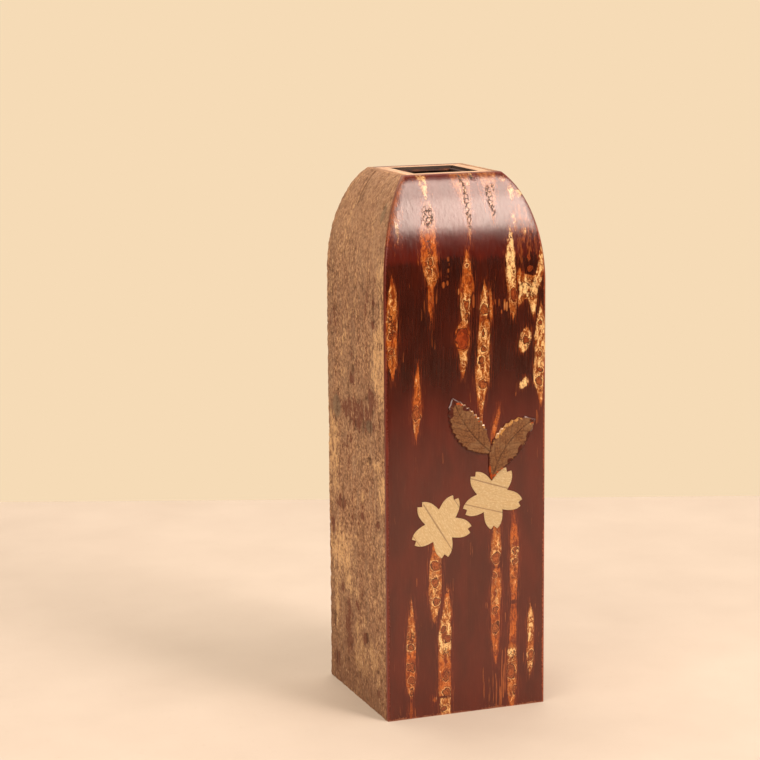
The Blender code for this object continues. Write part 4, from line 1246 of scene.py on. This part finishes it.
def inlay_shapes():
    """Outlines of the blossoms, and base, tip, bow, width and fullness of the leaves."""
    upper_outline = blossom_outline(UPPER_BLOSSOM, UPPER_BLOSSOM_TURN)
    lower_outline = blossom_outline(LOWER_BLOSSOM, LOWER_BLOSSOM_TURN)
    right_leaf = (RIGHT_LEAF_BASE, RIGHT_LEAF_TIP, RIGHT_LEAF_BOW, RIGHT_LEAF_WIDTH, RIGHT_LEAF_FULLNESS)
    rib, rib_left = leaf_rib(RIGHT_LEAF_BASE, RIGHT_LEAF_TIP, RIGHT_LEAF_BOW, LEFT_LEAF_BASE_SHARE)
    right_edge = leaf_half_width(RIGHT_LEAF_WIDTH, RIGHT_LEAF_FULLNESS, LEFT_LEAF_BASE_SHARE, 0.0)
    left_base = rib + rib_left * (right_edge - LEFT_LEAF_TUCK)
    left_leaf = (left_base, LEFT_LEAF_TIP, LEFT_LEAF_BOW, LEFT_LEAF_WIDTH, LEFT_LEAF_FULLNESS)
    return upper_outline, lower_outline, left_leaf, right_leaf


def vein_depth(share, side, reach, length):
    """Depth of the engraved veins at a place on a leaf, from 0 to 1: side is -1 to 1 across."""
    offset = np.abs(side) * reach
    rib = np.clip(1.25 - offset / (RIB_WIDTH * MM * (1.15 - share * .6)), 0, 1)
    spacing = length / VEIN_PITCHES
    phase = (share * length - offset * VEIN_SLANT) / spacing + VEIN_STAGGER * np.sign(side)
    row = np.round(phase)
    away = np.abs(phase - row) * spacing * VEIN_CLOSENESS
    kept = (row >= 1) & (row <= VEIN_ROWS) & (np.abs(side) < VEIN_REACH)
    branch = np.clip(1.2 - away / (VEIN_WIDTH * MM), 0, .6) * kept * np.clip(1.4 - np.abs(side), 0, 1)
    return np.maximum(rib, branch)


def leaf_grid(base, tip, bow, width, fullness):
    """A grid over a leaf in the front's plane, with the share of the length, the side from -1 to 1
    and the half width at each of its places."""
    shares, right_edge, left_edge = [], [], []
    stations = leaf_edges(base, tip, bow, width, fullness)
    for (share, right, left), (next_share, next_right, next_left) in zip(stations, stations[1:]):
        for step in range(LEAF_ROWS_A_STATION):
            k = step / LEAF_ROWS_A_STATION
            shares.append(share * (1 - k) + next_share * k)
            right_edge.append(right.lerp(next_right, k))
            left_edge.append(left.lerp(next_left, k))
    low = np.array([[p.x, p.y] for p in (*right_edge, tip)])
    high = np.array([[p.x, p.y] for p in (*left_edge, tip)])
    side = np.sin(np.linspace(-1.0, 1.0, LEAF_COLUMNS + 1) * math.pi / 2)
    k = (side + 1) / 2
    plan = low[:, None, :] * (1 - k)[None, :, None] + high[:, None, :] * k[None, :, None]
    reach = np.hypot(*(high - low).T)[:, None] / 2
    share = np.broadcast_to(np.array([*shares, 1.0])[:, None], plan.shape[:2])
    return plan, share, np.broadcast_to(side[None, :], plan.shape[:2]), reach


def leaf_mesh(name, base, tip, bow, width, fullness):
    """A carved leaf: low crown, rounded toothed edge, engraved veins, flat back inside the bark."""
    plan, share, side, reach = leaf_grid(base, tip, bow, width, fullness)
    from_edge = reach * (1 - np.abs(side))
    vein = vein_depth(share, side, reach, (tip - base).length)
    bevel = np.clip(1 - from_edge / (LEAF_BEVEL_WIDTH * MM), 0, 1)
    pitch = LEAF_GRAIN * MM
    rough = rough_drift(plan[..., 0] / pitch, plan[..., 1] / pitch, 40, 3) * LEAF_GRAIN_HEIGHT
    fold = rough_drift(share * 7, side * 1.2, 44, 2) * LEAF_FOLD_HEIGHT
    crown = LEAF_CROWN * (1 - side ** 2)
    carved = (rough + fold - VEIN_DEPTH * vein) * (1 - bevel)
    rise = LEAF_RISE / MM - LEAF_CROWN + crown - LEAF_BEVEL * bevel + carved
    depth = FRONT - rise * MM
    rows, columns = plan.shape[:2]
    bm = bmesh.new()
    grid = [[bm.verts.new((plan[i, j, 0], depth[i, j], plan[i, j, 1])) for j in range(columns)]
            for i in range(rows)]
    for i in range(rows - 1):
        for j in range(columns - 1):
            bm.faces.new((grid[i][j], grid[i][j + 1], grid[i + 1][j + 1], grid[i + 1][j]))
    bmesh.ops.remove_doubles(bm, verts=bm.verts, dist=2e-6)
    bmesh.ops.dissolve_degenerate(bm, edges=bm.edges, dist=1e-6)
    laid = (plan.reshape(-1, 2), vein.ravel(), from_edge.ravel(), share.ravel(), side.ravel())
    return extruded_mesh(name, bm, BARK_BACK), laid


def keep_leaf_fields(mesh, laid, gold_side, start, tip_gold, shine, embers):
    """Carry veins, edge, gold and gloss from the leaf's own grid to its points after cutting."""
    plan, vein, from_edge, share, side = laid
    tree = KDTree(len(plan))
    for i, (x, z) in enumerate(plan):
        tree.insert((x, z, 0.0), i)
    tree.balance()
    points = points_of(mesh)
    nearest = [tree.find((x, z, 0.0))[1] for x, _, z in points]
    started = ramp(share, start, .1)
    # The strip of gold is painted light on the leaf's upper, lit side.
    strip = ramp(side * gold_side, .70, .16) * started * ramp(share, .93, -.1)
    golden = np.maximum(strip, ramp(share, .86, .06) * tip_gold)
    shiny = np.minimum(ramp(side * gold_side, .5, .2), shine) * started
    gloss = np.maximum(shiny, ramp(share, .84, .06) * 1.4)
    across = points[:, 0] / MM
    up = points[:, 2] / MM
    keep_fields(mesh, vein=vein[nearest], margin=from_edge[nearest] / MM, golden=golden[nearest],
                gloss=gloss[nearest], ember=spot_field(across, up, embers),
                burnt=spot_field(across, up, LEAF_BURNS_AND_SHADE))


# Pieces

def seat_piece(piece, node, look, smooth=30):
    """Finish a piece, and let it stand for its solid on the vase's body."""
    piece.data.materials.clear()
    piece.data.materials.append(look)
    piece.data.shade_smooth()
    piece.data.set_sharp_from_angle(angle=math.radians(smooth))
    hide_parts(node)
    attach(piece, "vase_body")


def add_front_facing(look, pockets):
    """The polished front, with the pockets for the inlays cut out."""
    piece = add_object("front_facing", polished_facing_mesh("front_facing", True))
    cut_with(piece, pockets)
    fibres = FRONT_FIBRES + scattered_fibres(12, FRONT_LENTICELS, 90)
    mark_polished(piece.data, FRONT_LENTICELS, FRONT_EYES, FRONT_CRACKS, fibres)
    map_facing(piece.data)
    seat_piece(piece, "front_bark", look)


def add_back_facing(look):
    """The polished back, which stops short of the corners."""
    mesh = polished_facing_mesh("back_facing", False)
    lenticels, eyes, cracks = grown_lenticels(5)
    mark_polished(mesh, lenticels, eyes, cracks, scattered_fibres(13, lenticels, 140))
    map_facing(mesh)
    turn_to_side(mesh, 2)
    seat_piece(add_object("back_facing", mesh), "back_bark", look)


def add_rough_facing(name, node, look, turns, back_end, seed, patches, lichens, fissures):
    """A rough side, drawn as the front and turned to its place by quarter turns."""
    mesh = rough_facing_mesh(name, seed, back_end, fissures)
    points = points_of(mesh)
    across = points[:, 0] / MM
    up = points[:, 2] / MM
    _, crease = rough_relief(across, up, seed, fissures)
    tint = rough_drift(across / 16, up / 20, seed + 60, 3) * .35
    for x, z, wide, tall, colour in patches:
        share = np.clip(1.6 - ovals(across, up, x, z, wide, tall), 0, 1)
        tint = tint * (1 - share) + colour * share
    keep_fields(mesh, crease=crease, tint=tint, lichen=spot_field(across, up, lichens))
    map_facing(mesh)
    turn_to_side(mesh, turns)
    seat_piece(add_object(name, mesh), node, look, smooth=80)


def scattered_patches(seed):
    """Patches for the rough side that nobody has seen: large golden ones and small red-brown ones."""
    pick = np.random.default_rng(seed)
    patches = []
    for count, foot, wide, tall, tint in ((8, 10, (5, 14), (8, 18), GOLDEN),
                                          (14, 5, (2, 4), (2, 4), RED_BROWN)):
        for _ in range(count):
            patches.append((pick.uniform(-36, 36), pick.uniform(foot, 245), pick.uniform(*wide),
                            pick.uniform(*tall), tint))
    return patches


def add_blossom(node, outline, look):
    """A blossom flush with the front, its front edge just eased."""
    name = node + "_inlay"
    eased_edge = grown_outline(outline, -BLOSSOM_EASE)
    rings = []
    for points, y in ((eased_edge, FRONT), (outline, FRONT + BLOSSOM_EASE), (outline, BARK_BACK)):
        rings.append([(p.x, y, p.y) for p in points])
    seat_piece(add_object(name, closed_loft(name, np.array(rings))), node, look)


def add_leaf(node, leaf, neighbour, lit_side, embers, look):
    """A carved leaf, fitted to the outline of the neighbour that it meets."""
    name = node + "_blade"
    mesh, laid = leaf_mesh(name, *leaf)
    piece = add_object(name, mesh)
    cut_with(piece, [pocket_cutter("neighbour", neighbour, 2 * JOINT)])
    keep_leaf_fields(piece.data, laid, *lit_side, embers)
    seat_piece(piece, node, look, smooth=50)


def dress(nodes, look):
    """Give solids that stay as they are their material."""
    for node in nodes:
        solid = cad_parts[node]
        solid.data.materials.clear()
        solid.data.materials.append(look)


# Floor, light and camera

def add_floor(look):
    """Plain tabletop, square to the view, whose back edge shows behind the vase."""
    mesh = bpy.data.meshes.new("tabletop")
    near, far, wide, thick = -0.54, 0.40, 1.3, 0.02
    rim = [TO_RIGHT * x + BEHIND * y for x, y in ((-wide, near), (wide, near), (wide, far), (-wide, far))]
    top = [(p.x, p.y, 0.0) for p in rim]
    under = [(p.x, p.y, -thick) for p in rim]
    faces = [(0, 1, 2, 3), (7, 6, 5, 4)] + [(i, i + 4, (i + 1) % 4 + 4, (i + 1) % 4) for i in range(4)]
    mesh.from_pydata(top + under, [], faces)
    mesh.materials.append(look)
    floor = add_object("tabletop", mesh)


def add_soft_light(name, above, aside, tall, wide, radiance, colour, roll=0.0):
    """A soft box that faces the vase, all in degrees as seen from there: 'above' turns up from the
    front over the top to the back, and 'aside' turns from there towards +X."""
    t = math.radians(above)
    s = math.radians(aside)
    out = Vector((math.sin(s), -math.cos(s) * math.cos(t), math.cos(s) * math.sin(t)))
    up = Vector((0.0, math.sin(t), math.cos(t)))
    turned = Matrix((up.cross(out), up, out)).transposed() @ Matrix.Rotation(math.radians(roll), 3, "Z")
    light = bpy.data.lights.new(name, "AREA")
    light.shape = "RECTANGLE"
    light.size = 2 * LIGHT_DISTANCE * math.tan(math.radians(wide / 2))
    light.size_y = 2 * LIGHT_DISTANCE * math.tan(math.radians(tall / 2))
    light.color = colour
    light.energy = radiance * math.pi * light.size * light.size_y
    lamp = add_object(name, light)
    lamp.location = LIGHT_CENTRE + out * LIGHT_DISTANCE
    lamp.rotation_euler = turned.to_euler()
    lamp.visible_camera = False


def add_lights():
    """A tall strip that the rounded shoulder mirrors, and wide soft boxes round it."""
    add_soft_light("strip_light", above=48.5, aside=24.0, tall=50.0, wide=15.0, radiance=11.0,
                   colour=STRIP_COLOUR, roll=3.0)
    add_soft_light("strip_glow", above=34.5, aside=24.0, tall=22.0, wide=15.0, radiance=4.7,
                   colour=STRIP_COLOUR, roll=3.0)
    add_soft_light("left_box", above=40.0, aside=-48.0, tall=56.0, wide=46.0, radiance=2.4,
                   colour=BOX_COLOUR)
    add_soft_light("right_box", above=60.0, aside=62.0, tall=56.0, wide=30.0, radiance=1.2,
                   colour=BOX_COLOUR)
    add_soft_light("back_box", above=122.0, aside=0.0, tall=50.0, wide=64.0, radiance=1.95,
                   colour=BOX_COLOUR)


def add_world():
    """The camera sees a plain pale wall. Light comes dimly from all round, but least from the strip
    of room that the flat front mirrors."""
    world = bpy.data.worlds.new("room")
    bpy.context.scene.world = world
    world.use_nodes = True
    room = Nodes(world.node_tree)
    background = world.node_tree.nodes["Background"]
    towards = room.add("ShaderNodeTexCoord", output="Generated")
    sideways = room.axis(towards, "X")
    back = room.axis(towards, "Y")
    up = room.axis(towards, "Z")
    mirrored = room.step(abs(sideways - .38), .34, .14) * room.step(back, .2, -.2)
    glow = room.step(up, -.05, .35) * (1 - mirrored) * .55 + .03
    seen = room.add("ShaderNodeLightPath", output="Is Camera Ray")
    wall = paint(246, 219, 182)
    dim_room = room.shaded(paint(255, 236, 222), glow)
    room.feed(background.inputs["Color"], room.mix(seen, dim_room, wall))
    room.feed(background.inputs["Strength"], 1.0)


def add_camera():
    """The photograph's viewpoint, found from the vase's edges."""
    back = Vector((-math.sin(VIEW_AZIMUTH) * math.cos(VIEW_ELEVATION),
                   -math.cos(VIEW_AZIMUTH) * math.cos(VIEW_ELEVATION), math.sin(VIEW_ELEVATION)))
    right = (-back).cross(Vector((0, 0, 1))).normalized()
    up = right.cross(-back)
    target = Vector((0, 0, VIEW_HEIGHT)) + right * VIEW_ASIDE
    turned = right * math.cos(VIEW_ROLL) + up * math.sin(VIEW_ROLL)
    upright = up * math.cos(VIEW_ROLL) - right * math.sin(VIEW_ROLL)
    lens = bpy.data.cameras.new("view")
    lens.lens = LENS
    lens.sensor_width = SENSOR_WIDTH
    lens.clip_start = NEAREST_SEEN
    camera = add_object("view", lens)
    axes = Matrix((turned, upright, back)).transposed().to_4x4()
    camera.matrix_world = Matrix.Translation(target + back * VIEW_DISTANCE) @ axes
    bpy.context.scene.camera = camera


# The vase

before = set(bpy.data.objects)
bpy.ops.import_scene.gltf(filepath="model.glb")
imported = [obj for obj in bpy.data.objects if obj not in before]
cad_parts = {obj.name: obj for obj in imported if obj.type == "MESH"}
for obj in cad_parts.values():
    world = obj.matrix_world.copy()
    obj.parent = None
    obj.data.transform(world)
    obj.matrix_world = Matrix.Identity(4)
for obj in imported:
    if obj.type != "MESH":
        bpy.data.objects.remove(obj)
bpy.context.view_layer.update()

add_camera()
bpy.context.scene.view_settings.view_transform = "Standard"
add_floor(floor_paper())
add_lights()
add_world()

upper_outline, lower_outline, left_leaf, right_leaf = inlay_shapes()
pockets = [pocket_cutter("upper_pocket", upper_outline, JOINT),
           pocket_cutter("lower_pocket", lower_outline, JOINT),
           pocket_cutter("right_pocket", leaf_outline(*right_leaf), JOINT),
           pocket_cutter("left_pocket", leaf_outline(*left_leaf), JOINT)]
polished = polished_bark()
add_front_facing(polished, pockets)
add_back_facing(polished)

rough = rough_bark()
add_rough_facing("left_facing", "left_bark", rough, turns=3, back_end=-1, seed=200,
                 patches=LEFT_PATCHES, lichens=LEFT_LICHENS, fissures=LEFT_FISSURES)
add_rough_facing("right_facing", "right_bark", rough, turns=1, back_end=1, seed=300,
                 patches=scattered_patches(8), lichens=RIGHT_LICHENS, fissures=RIGHT_FISSURES)

leafy = leaf_bark()
add_leaf("right_leaf", right_leaf, upper_outline, RIGHT_LEAF_LIT_SIDE, RIGHT_EMBERS, leafy)
add_leaf("left_leaf", left_leaf, leaf_outline(*right_leaf), LEFT_LEAF_LIT_SIDE, LEFT_EMBERS, leafy)
add_blossom("upper_blossom", upper_outline, blossom_wood("upper_blossom_wood", UPPER_LINES, .95))
add_blossom("lower_blossom", lower_outline, blossom_wood("lower_blossom_wood", LOWER_LINES, 1.0))

dress(("front_board", "back_board", "base_board"), core_wood("core_wood_across", "x"))
dress(("left_board", "right_board"), core_wood("core_wood_deep", "y"))
dress(("tube_wall", "tube_floor", "tube_rim"), dark_copper())
